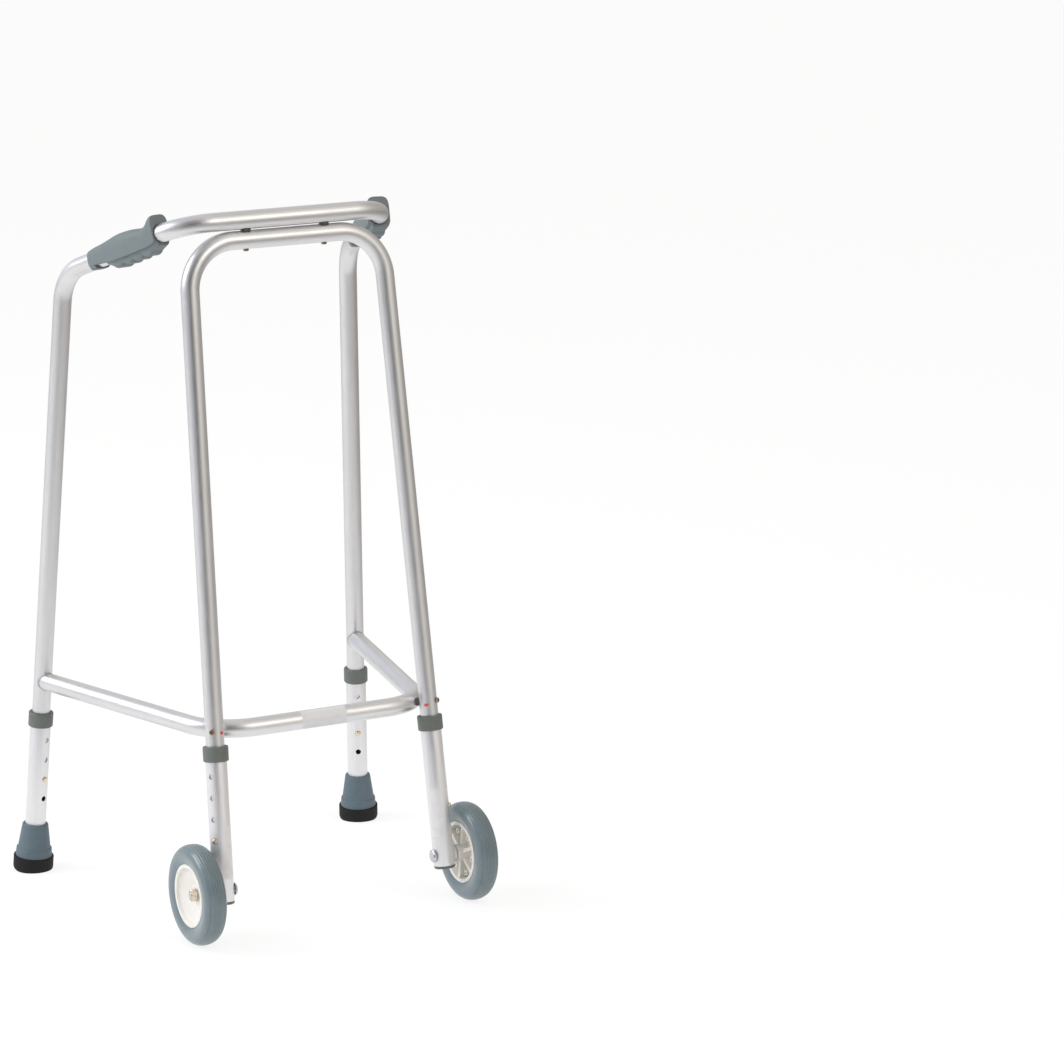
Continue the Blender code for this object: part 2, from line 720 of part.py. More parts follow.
def add_wheel(side, leg_tube):
    """A wheel on its axle. Z of the wheel's frame points outwards, from the middle of the tyre."""
    centre = leg_point(side, "front", WHEEL_RADIUS)
    leg_inset = WHEEL_X - abs(centre.x)
    outward = Vector((SIDES[side], 0, 0))
    centre.x = SIDES[side] * WHEEL_X
    place = axes_at(centre, outward, Vector((0, 0, 1)))
    axis = add_axis(f"wheel_axis_{side}", place, origin)
    name = f"tyre_{side}"
    add_piece(name, tyre_mesh(), "tyre", axis)

    spacer_in = LEG_RADIUS - leg_inset
    spacer_out = spacer_in + SPACER_WALL
    sleeve_in = spacer_out + FIT_GAP
    boss_in = sleeve_in + RUNNING_GAP
    boss_out = HUB_WIDTH / 2 - HUB_DISH
    sleeve_out = boss_out + RUNNING_GAP
    washer_in = sleeve_out + FIT_GAP
    nut_in = washer_in + WASHER + FIT_GAP
    bolt_out = nut_in + NUT + BOLT_END
    bolt_radius = AXLE_DIAMETER / 2
    sleeve_bore = bolt_radius + BORE_GAP
    sleeve_radius = sleeve_bore + SLEEVE_WALL
    hub_bore = sleeve_radius + RUNNING_GAP
    rim = TYRE_BORE - FIT_GAP
    groove = rim - TYRE_RIDGE
    ridge = TYRE_RIDGE_WIDTH / 2 + FIT_GAP
    inside = groove - HUB_RIM
    face = HUB_WIDTH / 2
    web = boss_out - HUB_WEB
    profile = [
        (hub_bore, boss_in),
        (HUB_BOSS_RADIUS, boss_in),
        (HUB_BOSS_RADIUS, web),
        (inside - 0.0060, face - 0.0060 - HUB_WEB),
        (inside, face - 0.0030 - HUB_WEB),
        (inside, -face),
        (rim, -face),
        (rim, -ridge),
        (groove, -ridge),
        (groove, ridge),
        (rim, ridge),
        (rim, face),
        (inside + 0.0004, face),
        (inside - 0.0012, face - 0.0034),
        (inside - 0.0060, face - 0.0060),
        (HUB_BOSS_RADIUS + 0.0025, boss_out),
        (hub_bore, boss_out),
    ]
    name = f"wheel_hub_{side}"
    hub = add_piece(name, turned_mesh(name, profile, WHEEL_SIDES), "hub", axis)
    # Ribs run from the boss to the rim on the wheel's inner side, and follow the dish
    rib_low = -face + HUB_RIB_RECESS
    rib_in = HUB_BOSS_RADIUS - 0.0010
    rib_out = inside + HUB_RIM / 2
    for number in range(HUB_RIB_COUNT):
        bm = bmesh.new()
        outline = (
            (rib_in, rib_low),
            (rib_out, rib_low),
            (rib_out, face - 0.0044 - HUB_WEB / 2),
            (inside - 0.0060, face - 0.0072 - HUB_WEB / 2),
            (rib_in, web + HUB_WEB / 2),
        )
        corners = [bm.verts.new((x, -HUB_RIB_WIDTH / 2, z)) for x, z in outline]
        side_face = bm.faces.new(corners)
        swept = bmesh.ops.extrude_face_region(bm, geom=[side_face])
        moved = [part for part in swept["geom"] if isinstance(part, bmesh.types.BMVert)]
        bmesh.ops.translate(bm, verts=moved, vec=(0, HUB_RIB_WIDTH, 0))
        angle = math.tau * (number + 0.5) / HUB_RIB_COUNT - SIDES[side] * math.radians(HUB_RIB_TURN)
        turn = Matrix.Rotation(angle, 4, "Z")
        rib_name = f"{name}_rib_{number}"
        combine(hub, add_guide(rib_name, finish_mesh(rib_name, bm), axis, turn), "UNION")

    leg_axis = add_axis(f"wheel_leg_axis_{side}", leg_axes(side, "front"), origin)
    leg_room = rod_mesh("leg_room", LEG_RADIUS + FIT_GAP, front_leg_end, leg_top["front"] / 2, TUBE_SIDES)
    seat = -leg_inset - head_seat(LEG_RADIUS, AXLE_HEAD_RADIUS, leg_line(side, "front")[1], outward)
    name = f"axle_bolt_{side}"
    add_piece(name, screw_mesh(name, bolt_radius, AXLE_HEAD_RADIUS, AXLE_HEAD, seat, bolt_out), "zinc", axis)
    name = f"axle_spacer_{side}"
    spacer_seat = -leg_inset + LEG_RADIUS * math.cos(math.asin(SPACER_RADIUS / LEG_RADIUS))
    spacer_shape = ring_mesh(name, sleeve_bore, SPACER_RADIUS, spacer_seat, spacer_out)
    spacer = add_piece(name, spacer_shape, "hub", axis)
    combine(spacer, add_guide(f"{name}_leg_room", leg_room, leg_axis))
    name = f"axle_sleeve_{side}"
    add_piece(name, ring_mesh(name, sleeve_bore, sleeve_radius, sleeve_in, sleeve_out), "zinc", axis)
    name = f"axle_washer_{side}"
    add_piece(name, ring_mesh(name, sleeve_bore, WASHER_RADIUS, washer_in, washer_in + WASHER), "zinc", axis)
    name = f"axle_nut_{side}"
    add_piece(name, nut_mesh(name, NUT_ACROSS, sleeve_bore, nut_in, NUT), "zinc", axis)
    drill = rod_mesh("axle_hole", sleeve_bore, -leg_inset - LEG_RADIUS * 1.2, -leg_inset + LEG_RADIUS * 1.2)
    combine(leg_tube, add_guide(f"axle_hole_{side}", drill, axis))


def add_plug(side, axis):
    """The plug that closes a front leg's lower end."""
    spigot = LEG_BORE - FIT_GAP
    low = front_leg_end - FIT_GAP - PLUG_FLANGE
    profile = [
        (0, low),
        (LEG_RADIUS - 0.0008, low),
        (LEG_RADIUS, low + 0.0008),
        (LEG_RADIUS, low + PLUG_FLANGE),
        (spigot, low + PLUG_FLANGE),
        (spigot, low + PLUG_FLANGE + PLUG_SPIGOT),
        (0, low + PLUG_FLANGE + PLUG_SPIGOT),
    ]
    name = f"leg_end_plug_{side}"
    add_piece(name, turned_mesh(name, profile, TUBE_SIDES, closed=False), "collar", axis)


def screw_mesh(name, radius, head_radius, head, seat, tip):
    """A screw along Z, with a domed head whose underside lies at seat."""
    top = seat - head
    profile = [
        (0, top),
        (head_radius * 0.70, top + head * 0.10),
        (head_radius * 0.95, top + head * 0.45),
        (head_radius, seat),
        (radius, seat),
        (radius, tip - radius * 0.3),
        (radius * 0.7, tip),
        (0, tip),
    ]
    return turned_mesh(name, profile, SCREW_SIDES, closed=False)


def head_seat(tube_radius, head_radius, tube_line, screw_line):
    """How far from a tube's axis a flat head bears on it, where the screw leans along the tube."""
    lean = math.asin(abs(tube_line.normalized().dot(screw_line.normalized())))
    return tube_radius / math.cos(lean) + head_radius * math.tan(lean) + FIT_GAP


def add_top_joint(side):
    """The screw, nut and saddle that join the front frame's top bar to the crossbar above it."""
    middle = corner_point(side, TOP_SCREW_X, CROSSBAR_Y, front_top_z)
    axis = add_axis(f"top_joint_axis_{side}", axes_at(middle, Vector((0, 0, 1)), Vector((1, 0, 0))), origin)
    rise = CROSSBAR_Z - front_top_z
    radius = SCREW_DIAMETER / 2
    bore = radius + BORE_GAP
    inner = TUBE_RADIUS - TUBE_WALL
    nut_corner = SCREW_NUT_ACROSS / math.sqrt(3)
    nut_low = rise - math.sqrt((inner * math.cos(math.pi / TUBE_SIDES)) ** 2 - nut_corner**2) + FIT_GAP
    tip = nut_low + SCREW_NUT + SCREW_DIAMETER * 0.2

    across = Matrix.Rotation(math.pi / 2, 4, "Y")
    long = TOP_SADDLE_LENGTH * 2
    low_bar = add_guide(
        f"low_bar_{side}", rod_mesh("low_bar", TUBE_RADIUS + FIT_GAP, -long, long, TUBE_SIDES), axis, across
    )
    high_bar = add_guide(
        f"high_bar_{side}",
        rod_mesh("high_bar", TUBE_RADIUS + FIT_GAP, -long, long, TUBE_SIDES),
        axis,
        Matrix.Translation((0, 0, rise)) @ across,
    )
    name = f"top_screw_{side}"
    seat = -TUBE_RADIUS - FIT_GAP
    add_piece(name, screw_mesh(name, radius, SCREW_HEAD_RADIUS, SCREW_HEAD, seat, tip), "zinc", axis)

    name = f"top_nut_{side}"
    add_piece(name, nut_mesh(name, SCREW_NUT_ACROSS, bore, nut_low, SCREW_NUT), "zinc", axis)

    name = f"top_saddle_{side}"
    half_x, half_y = TOP_SADDLE_LENGTH / 2, TOP_SADDLE_DEPTH / 2
    low, high = rise / 2 - TUBE_RADIUS, rise / 2 + TUBE_RADIUS
    body = block_mesh(name, (-half_x, -half_y, low), (half_x, half_y, high))
    saddle = add_piece(name, body, "saddle", axis)
    outside = math.sqrt(TUBE_RADIUS**2 - half_y**2)
    slab = block_mesh("slab", (-long, -long, outside), (long, long, rise - outside))
    combine(saddle, add_guide(f"top_saddle_slab_{side}", slab, axis), "INTERSECT")
    combine(saddle, low_bar)
    combine(saddle, high_bar)
    drill = add_guide(f"top_hole_{side}", rod_mesh("top_hole", bore, -TUBE_DIAMETER, rise), axis)
    for tube in (front_tube, upper_tube, saddle):
        combine(tube, drill)


def add_brace_joint(side):
    """The bolt, nut and saddle that hold the brace's bend to the front leg's frame tube."""
    foot, up = leg_line(side, "front")
    bend = leg_point(side, "front", BRACE_HEIGHT) + brace_corner(side)[1] * (TUBE_DIAMETER + BRACE_GAP)
    leg = foot + up * (bend - foot).dot(up)
    axis = add_axis(f"brace_joint_axis_{side}", axes_at(leg, bend - leg, Vector((0, 0, 1))), origin)
    leg_frame = add_axis(f"brace_leg_axis_{side}", leg_axes(side, "front"), origin)
    reach = BRACE_HEIGHT + TUBE_DIAMETER * 2
    low = BRACE_HEIGHT - TUBE_DIAMETER * 2
    room = add_leg_room(f"brace_leg_room_{side}", TUBE_RADIUS + FIT_GAP, low, reach, leg_frame)
    radius = BRACE_BOLT_DIAMETER / 2
    bore = radius + BORE_GAP
    brace_middle = (bend - leg).length
    nut_corner = BRACE_NUT_ACROSS / math.sqrt(3)
    hollow = nut_corner**2 / (BRACE_BEND - TUBE_RADIUS)  # the nut bears across the inside of the bend
    nut_in = brace_middle + TUBE_RADIUS + hollow + FIT_GAP
    tip = nut_in + BRACE_NUT + BRACE_BOLT_DIAMETER * 0.25
    seat = -TUBE_RADIUS - FIT_GAP
    name = f"brace_bolt_{side}"
    head = screw_mesh(name, radius, BRACE_HEAD_RADIUS, BRACE_HEAD, seat, tip)
    bolt = add_piece(name, head, "zinc", axis)
    socket = rod_mesh("socket", BRACE_SOCKET, seat - BRACE_HEAD * 2, seat - BRACE_HEAD * 0.4, 6)
    combine(bolt, add_guide(f"{name}_socket", socket, axis))

    name = f"brace_nut_{side}"
    add_piece(name, nut_mesh(name, BRACE_NUT_ACROSS, bore, nut_in, BRACE_NUT), "zinc", axis)

    name = f"brace_saddle_{side}"
    half_h, half_w = BRACE_SADDLE_HEIGHT / 2, BRACE_SADDLE_WIDTH / 2
    start = math.sqrt(TUBE_RADIUS**2 - half_w**2)
    end = brace_middle - math.sqrt(TUBE_RADIUS**2 - half_h**2)
    body = block_mesh(name, (-half_h, -half_w, start), (half_h, half_w, end))
    saddle = add_piece(name, body, "saddle", axis)
    combine(saddle, room)
    combine(saddle, brace_room)
    drill = add_guide(f"brace_hole_{side}", rod_mesh("brace_hole", bore, -TUBE_DIAMETER, tip), axis)
    for piece in (front_tube, brace_tube, saddle):
        combine(piece, drill)


def add_brace_end(side):
    """The saddle plug in a brace end, and the screw that draws it against the rear leg's frame tube."""
    start = leg_point(side, "rear", BRACE_HEIGHT)
    along = brace_corner(side)[0] - start
    axis = add_axis(f"brace_end_axis_{side}", axes_at(start, along, Vector((0, 0, 1))), origin)
    leg_frame = add_axis(f"brace_end_leg_axis_{side}", leg_axes(side, "rear"), origin)
    low, high = BRACE_HEIGHT - TUBE_DIAMETER * 2, BRACE_HEIGHT + TUBE_DIAMETER * 2
    near = TUBE_RADIUS + FIT_GAP
    far = near + END_SADDLE_WALL
    room = add_leg_room(f"end_leg_room_{side}", near, low, high, leg_frame)
    cope = add_leg_room(f"end_cope_{side}", far + FIT_GAP, low, high, leg_frame)
    flange = add_leg_room(f"end_flange_{side}", far, low, high, leg_frame)
    combine(brace_tube, cope)
    trim = END_SADDLE_TRIM
    reach = TUBE_DIAMETER
    horns = block_mesh("horns", (-reach, -reach, -reach), (reach, reach, trim))
    tube_horns = block_mesh("horns", (-reach, -reach, -reach), (reach, reach, trim + END_SADDLE_WALL * 0.7))
    combine(brace_tube, add_guide(f"end_tube_horns_{side}", tube_horns, axis))

    name = f"brace_end_saddle_{side}"
    spigot_end = far + END_SPIGOT
    spigot_radius = TUBE_RADIUS - TUBE_WALL - FIT_GAP * 1.5
    saddle = add_piece(
        name, rod_mesh(name, TUBE_RADIUS + END_SADDLE_PROUD, 0, spigot_end, TUBE_SIDES), "collar", axis
    )
    spigot = rod_mesh("spigot", spigot_radius, TUBE_WALL, spigot_end, TUBE_SIDES)
    combine(saddle, flange, "INTERSECT")
    combine(saddle, add_guide(f"end_saddle_horns_{side}", horns, axis))
    combine(saddle, add_guide(f"end_spigot_{side}", spigot, axis), "UNION")
    combine(saddle, room)
    radius = SCREW_DIAMETER / 2
    bore = radius + BORE_GAP
    tip = spigot_end - END_SPIGOT * 0.2
    drill = add_guide(
        f"end_hole_{side}", rod_mesh("end_hole", bore, -TUBE_DIAMETER, tip + FIT_GAP), axis
    )
    combine(saddle, drill)
    combine(upper_tube, drill)
    name = f"brace_end_screw_{side}"
    seat = -head_seat(TUBE_RADIUS, SCREW_HEAD_RADIUS, leg_line(side, "rear")[1], along)
    add_piece(name, screw_mesh(name, radius, SCREW_HEAD_RADIUS, SCREW_HEAD, seat, tip), "zinc", axis)


def finger_depth(along):
    """How far the grip's underside lies below the handle's middle, with its row of finger bumps."""
    first = FINGER_FIRST - FINGER_PITCH / 2
    last = first + FINGER_PITCH * FINGER_COUNT
    if first < along < last:
        across = (along - first) / FINGER_PITCH % 1 * 2 - 1
        return FINGER_VALLEY + (FINGER_LOW - FINGER_VALLEY) * (1 - abs(across) ** 3)
    ends = ((GRIP_START, GRIP_BELLY), (GRIP_STRIP_START, GRIP_BELLY), (first, FINGER_VALLEY))
    return between(ends + ((last, FINGER_VALLEY), (GRIP_END, GRIP_CHIN)), along)


def grip_stations():
    """Places along the grip: four to each finger bump, and its corners before and after them."""
    first = FINGER_FIRST - FINGER_PITCH / 2
    places = [first + FINGER_PITCH * number / 4 for number in range(FINGER_COUNT * 4 + 1)]
    places += [along for along, _ in GRIP_TOP if along > places[-1]]
    places += [GRIP_START, GRIP_NOTCH_START, GRIP_STRIP_START, (GRIP_STRIP_START + first) / 2]
    return sorted(set(places))


def grip_section(along, outward):
    """The grip's outline across the handle, as (up, out) points from the top round by the outer side."""
    top, width = between(GRIP_TOP, along), between(GRIP_WIDTH, along)
    flank, strip = between(GRIP_FLANK, along), between(GRIP_STRIP, along)
    edge, depth = between(GRIP_STRIP_EDGE, along), finger_depth(along)
    horn = max(0, (along - GRIP_HORN_FROM) / (GRIP_END - GRIP_HORN_FROM))
    power = 2 / (GRIP_CORNER + (GRIP_HORN_CORNER - GRIP_CORNER) * horn)
    half = [(top, 0)]
    for step in range(1, 4):
        angle = math.pi / 2 * (1 - step / 4)
        half.append((top * math.sin(angle) ** power, width * math.cos(angle) ** power))
    half += [(0, width), (-flank * 0.6, width), (-flank + GRIP_EDGE * 0.3, width - GRIP_EDGE * 0.3)]
    half += [(-flank, width - GRIP_EDGE), (-flank - 0.0002, min(strip + 0.0003, width - GRIP_EDGE * 1.2))]
    half += [(-depth + edge, strip), (-depth, strip - edge * 0.8), (-depth, 0)]
    round_back = [(up, -out) for up, out in half[-2:0:-1]]
    return [Vector((up, out * outward, along)) for up, out in half + round_back]


def add_handgrip(side):
    """A grip around the handle, with a thumb stop at its front and a notch below its rear ring."""
    rear = corner_point(side, REAR_TOP_X, REAR_TOP_Y, REAR_TOP_Z)
    front = corner_point(side, CROSSBAR_X, CROSSBAR_Y, CROSSBAR_Z)
    axis = add_axis(f"handle_axis_{side}", axes_at(rear, front - rear, Vector((0, 0, 1))), origin)
    outward = -SIDES[side]
    rings = [grip_section(along, outward) for along in grip_stations()]

    turns = [math.tau * number / len(rings[0]) for number in range(len(rings[0]))]

    def bore(along, radius):
        return [(radius * math.cos(turn), radius * math.sin(turn) * outward, along) for turn in turns]

    radius = TUBE_RADIUS + FIT_GAP
    rings.insert(0, bore(GRIP_START, radius))
    rings.append(bore(GRIP_END, radius + GRIP_FLARE))
    rings.append(bore(GRIP_END - GRIP_FLARE_LENGTH, radius))
    name = f"handgrip_{side}"
    grip = add_piece(name, loft_mesh(name, rings), "grip", axis)
    reach = TUBE_DIAMETER * 2
    low, high = (-reach, -reach, GRIP_NOTCH_START), (-GRIP_NOTCH_DEPTH, reach, GRIP_NOTCH_END)
    notch = block_mesh("notch", low, high)
    for vertex in notch.vertices:
        if vertex.co.x > -reach / 2 and vertex.co.z > GRIP_NOTCH_START + 0.0001:
            vertex.co.x = -GRIP_NOTCH_END_DEPTH
    combine(grip, add_guide(f"{name}_notch", notch, axis))


foot_low = SOLE_HEIGHT - SOLE_REBATE
washer_low = foot_low + FOOT_FLOOR + FIT_GAP
for side in SIDES:
    rear_axis, _ = add_leg(side, "rear")
    add_foot(side, rear_axis)
    front_axis, front_leg = add_leg(side, "front")
    add_plug(side, front_axis)
    add_wheel(side, front_leg)
    add_top_joint(side)
    add_brace_joint(side)
    add_brace_end(side)
    add_handgrip(side)
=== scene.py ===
import bpy
import bmesh
import json
import math
from mathutils import Matrix, Vector

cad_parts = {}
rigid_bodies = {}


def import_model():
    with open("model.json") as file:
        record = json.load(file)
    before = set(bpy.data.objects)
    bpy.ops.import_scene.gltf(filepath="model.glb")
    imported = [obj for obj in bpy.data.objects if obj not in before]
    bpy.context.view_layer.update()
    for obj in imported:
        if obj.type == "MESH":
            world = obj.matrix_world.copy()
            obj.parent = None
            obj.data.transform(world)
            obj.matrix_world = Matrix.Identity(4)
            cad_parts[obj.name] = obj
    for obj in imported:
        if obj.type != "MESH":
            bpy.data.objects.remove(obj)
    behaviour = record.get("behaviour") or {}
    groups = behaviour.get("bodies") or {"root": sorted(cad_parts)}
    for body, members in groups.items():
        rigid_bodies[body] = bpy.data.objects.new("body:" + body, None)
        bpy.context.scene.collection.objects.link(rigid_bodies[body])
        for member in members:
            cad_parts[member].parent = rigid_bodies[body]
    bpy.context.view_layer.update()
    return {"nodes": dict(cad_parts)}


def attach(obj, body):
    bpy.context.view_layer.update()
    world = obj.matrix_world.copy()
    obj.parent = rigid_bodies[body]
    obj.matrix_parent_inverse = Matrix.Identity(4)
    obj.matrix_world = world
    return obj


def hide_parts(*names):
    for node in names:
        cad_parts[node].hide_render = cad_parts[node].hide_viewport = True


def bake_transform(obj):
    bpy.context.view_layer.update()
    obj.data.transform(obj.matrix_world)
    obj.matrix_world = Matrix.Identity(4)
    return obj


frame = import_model()
nodes = frame["nodes"]
print("frame loaded")

# Lengths are in metres. The wheels are at -Y, and the sides are the user's, who stands at +Y.
sides = {"right": -1, "left": 1}

# the frame's tubes: corners of their middle lines on the left side, the bends' radii, and the tube itself
frameShape = {
    "rearFoot": (0.2275, 0.211507, 0.0),
    "rearTop": (0.1907, 0.144007, 0.7557),
    "crossbar": (0.1335, -0.072493, 0.8364),
    "frontTop": (0.1262, -0.072493, 0.8130),
    "frontFoot": (0.1485, -0.183993, 0.0),
    "braceRear": (0.215594, 0.189668, 0.2445),
    "braceCorner": (0.138105, -0.145823, 0.2445),
    "handleBend": 0.054,
    "frontBend": 0.058,
    "braceBend": 0.064,
    "tube": 0.0111,
    "wall": 0.0015,
    "around": 64,
    "plugDepth": 0.012,
}

# the telescopic legs, measured along each leg from the floor
legShape = {
    "bore": 0.0114,
    "outside": 0.0127,
    "edge": 0.0004,
    "around": 72,
    "holes": 4,
    "hole": 0.0034,
    "drill": (0.006, 0.02),  # from and to, out from the leg's middle
    "pitch": 0.0254,
    "rear": {"bottom": 0.02925, "top": 0.20296, "lowHole": 0.0950, "button": 0.1204, "tubeEnd": 0.1004},
    "front": {"bottom": 0.04798, "top": 0.22948, "lowHole": 0.1210, "button": 0.1210, "tubeEnd": 0.1010},
    "buttonAngle": {"rear": -20, "front": 57},
    "braceReach": (0.19, 0.30),
}


# Shader nodes

def newGroup(name, inputs, outputs):
    # the inputs are vectors or numbers, and the outputs are all numbers
    group = bpy.data.node_groups.new(name, "ShaderNodeTree")
    for label, kind in inputs.items():
        group.interface.new_socket(label, in_out="INPUT", socket_type=f"NodeSocket{kind}")
    for label in outputs:
        group.interface.new_socket(label, in_out="OUTPUT", socket_type="NodeSocketFloat")
    return group, group.nodes.new("NodeGroupInput"), group.nodes.new("NodeGroupOutput")


def feed(tree, node, links):
    # each of the node's sockets gets a fixed value or another node's output
    for key, value in links.items():
        socket = node.inputs[key]
        if isinstance(value, bpy.types.NodeSocket):
            tree.links.new(value, socket)
        else:
            socket.default_value = value


def addNode(tree, kind, links=None, **settings):
    node = tree.nodes.new(kind)
    for key, value in settings.items():
        setattr(node, key, value)
    feed(tree, node, links or {})
    return node


def mathNode(tree, operation, first, second):
    return addNode(tree, "ShaderNodeMath", {0: first, 1: second}, operation=operation).outputs[0]


def vectorNode(tree, operation, first, second=(0, 0, 0)):
    # gives a vector, or a number for a dot product or a length
    other = 3 if operation == "SCALE" else 1
    node = addNode(tree, "ShaderNodeVectorMath", {0: first, other: second}, operation=operation)
    return node.outputs["Value" if operation in ("DOT_PRODUCT", "LENGTH") else "Vector"]


def noiseNode(tree, place, scale, detail, roughness=0.5):
    sockets = {"Vector": place, "Scale": scale, "Detail": detail, "Roughness": roughness}
    return addNode(tree, "ShaderNodeTexNoise", sockets)


def rangeNode(tree, value, low, high, toLow=0.0, toHigh=1.0):
    sockets = {"Value": value, "From Min": low, "From Max": high, "To Min": toLow, "To Max": toHigh}
    return addNode(tree, "ShaderNodeMapRange", sockets, clamp=True).outputs["Result"]


def mixColours(tree, share, first, second, blend="MIX"):
    # the mix node's colours are its sockets 6 and 7, and its output 2
    colours = [c if isinstance(c, bpy.types.NodeSocket) else (*c, 1) for c in (first, second)]
    sockets = {0: share, 6: colours[0], 7: colours[1]}
    return addNode(tree, "ShaderNodeMix", sockets, data_type="RGBA", blend_type=blend).outputs[2]


def useGroup(tree, group, **inputs):
    return addNode(tree, "ShaderNodeGroup", inputs, node_tree=group)


# Effects that several materials share

def buildDrawnGrain():
    # fine lines that run along a drawn tube, and slow changes of tone
    group, enter, leave = newGroup("drawnGrain", {"Place": "Vector"}, ["Lines", "Tone"])
    stretched = vectorNode(group, "MULTIPLY", enter.outputs["Place"], (2600, 2600, 26))
    lines = noiseNode(group, stretched, 1.0, 3.0, 0.6)
    slow = vectorNode(group, "MULTIPLY", enter.outputs["Place"], (90, 90, 9))
    tone = noiseNode(group, slow, 1.0, 4.0, 0.55)
    feed(group, leave, {"Lines": lines.outputs["Fac"], "Tone": tone.outputs["Fac"]})
    return group


def buildHandling():
    # smudges left by hands, and a few short scratches
    inputs = {"Place": "Vector", "Size": "Float"}
    group, enter, leave = newGroup("handling", inputs, ["Smudge", "Scratch"])
    place = vectorNode(group, "SCALE", enter.outputs["Place"], enter.outputs["Size"])
    cloud = noiseNode(group, place, 34.0, 6.0, 0.62)
    smudge = rangeNode(group, cloud.outputs["Fac"], 0.42, 0.72)
    warped = noiseNode(group, place, 60.0, 2.0)
    shift = vectorNode(group, "SCALE", warped.outputs["Color"], 0.02)
    thin = vectorNode(group, "MULTIPLY", vectorNode(group, "ADD", place, shift), (900, 900, 45))
    cells = {"Vector": thin, "Scale": 0.35, "Randomness": 1.0}
    marks = addNode(group, "ShaderNodeTexVoronoi", cells, feature="DISTANCE_TO_EDGE")
    cut = rangeNode(group, marks.outputs["Distance"], 0.0, 0.012, 1.0, 0.0)
    seldom = noiseNode(group, place, 55.0, 1.0)
    keep = rangeNode(group, seldom.outputs["Fac"], 0.60, 0.68)
    feed(group, leave, {"Smudge": smudge, "Scratch": mathNode(group, "MULTIPLY", cut, keep)})
    return group


def buildMouldGrain():
    # the fine skin of a moulded piece, with a slow unevenness under it
    inputs = {"Place": "Vector", "Grain": "Float", "Coarse": "Float"}
    group, enter, leave = newGroup("mouldGrain", inputs, ["Height", "Patches"])
    fine = noiseNode(group, enter.outputs["Place"], 2400.0, 2.0)
    cells = {"Vector": enter.outputs["Place"], "Scale": 1500.0, "Smoothness": 0.6}
    pebbles = addNode(group, "ShaderNodeTexVoronoi", cells, feature="SMOOTH_F1")
    patches = noiseNode(group, enter.outputs["Place"], 75.0, 4.0, 0.6)
    fineHeight = mathNode(group, "MULTIPLY", fine.outputs["Fac"], enter.outputs["Grain"])
    coarseHeight = mathNode(group, "MULTIPLY", pebbles.outputs["Distance"], enter.outputs["Coarse"])
    height = mathNode(group, "ADD", fineHeight, coarseHeight)
    feed(group, leave, {"Height": height, "Patches": patches.outputs["Fac"]})
    return group


drawnGrain = buildDrawnGrain()
handling = buildHandling()
mouldGrain = buildMouldGrain()


# Materials

def startMaterial(name, roughness, metallic=0.0):
    material = bpy.data.materials.new(name)
    material.use_nodes = True
    tree = material.node_tree
    shader = tree.nodes["Principled BSDF"]
    feed(tree, shader, {"Roughness": roughness, "Metallic": metallic})
    return material, tree, shader


def setLook(tree, shader, colour, roughness, height, strength, distance):
    bump = addNode(tree, "ShaderNodeBump", {"Height": height, "Strength": strength, "Distance": distance})
    feed(tree, shader, {"Base Color": colour, "Roughness": roughness, "Normal": bump.outputs["Normal"]})


def tubeMetal(name, colour, dark, roughness, metallic=1.0):
    # satin anodised aluminium, drawn along the tube
    material, tree, shader = startMaterial(name, roughness, metallic)
    place = addNode(tree, "ShaderNodeAttribute", attribute_name="straight").outputs["Vector"]
    grain = useGroup(tree, drawnGrain, Place=place)
    wear = useGroup(tree, handling, Place=place, Size=1.0)
    base = mixColours(tree, rangeNode(tree, grain.outputs["Tone"], 0.30, 0.72), dark, colour)
    lines = rangeNode(tree, grain.outputs["Lines"], 0.35, 0.65, 0.94, 1.03)
    streaked = mixColours(tree, 1.0, base, lines, "MULTIPLY")
    rough = rangeNode(tree, grain.outputs["Lines"], 0.3, 0.7, roughness - 0.05, roughness + 0.06)
    sockets = {0: wear.outputs["Smudge"], 1: 0.05, 2: rough}
    smudged = addNode(tree, "ShaderNodeMath", sockets, operation="MULTIPLY_ADD").outputs[0]
    height = mathNode(tree, "SUBTRACT", grain.outputs["Lines"], wear.outputs["Scratch"])
    setLook(tree, shader, streaked, smudged, height, 0.25, 0.00002)
    return material


def mouldedPlastic(name, colour, second, roughness, grain, depth, coarse=0.3):
    material, tree, shader = startMaterial(name, roughness)
    place = addNode(tree, "ShaderNodeTexCoord").outputs["Object"]
    skin = useGroup(tree, mouldGrain, Place=place, Grain=grain, Coarse=coarse)
    base = mixColours(tree, rangeNode(tree, skin.outputs["Patches"], 0.32, 0.68), colour, second)
    rough = rangeNode(tree, skin.outputs["Patches"], 0.3, 0.7, roughness - 0.04, roughness + 0.06)
    setLook(tree, shader, base, rough, skin.outputs["Height"], 0.35, depth)
    return material


def glossyRubber(name, colour, second, roughness, grain, depth):
    material = mouldedPlastic(name, colour, second, roughness, grain, depth)
    tree = material.node_tree
    feed(tree, tree.nodes["Principled BSDF"], {"Coat Weight": 0.7, "Coat Roughness": 0.22})
    return material


def milkyNylon(name, colour, second, roughness, grain, depth):
    material = mouldedPlastic(name, colour, second, roughness, grain, depth)
    tree = material.node_tree
    depths = {"Subsurface Weight": 0.3, "Subsurface Radius": (1.0, 0.75, 0.5), "Subsurface Scale": 0.003}
    feed(tree, tree.nodes["Principled BSDF"], depths)
    return material


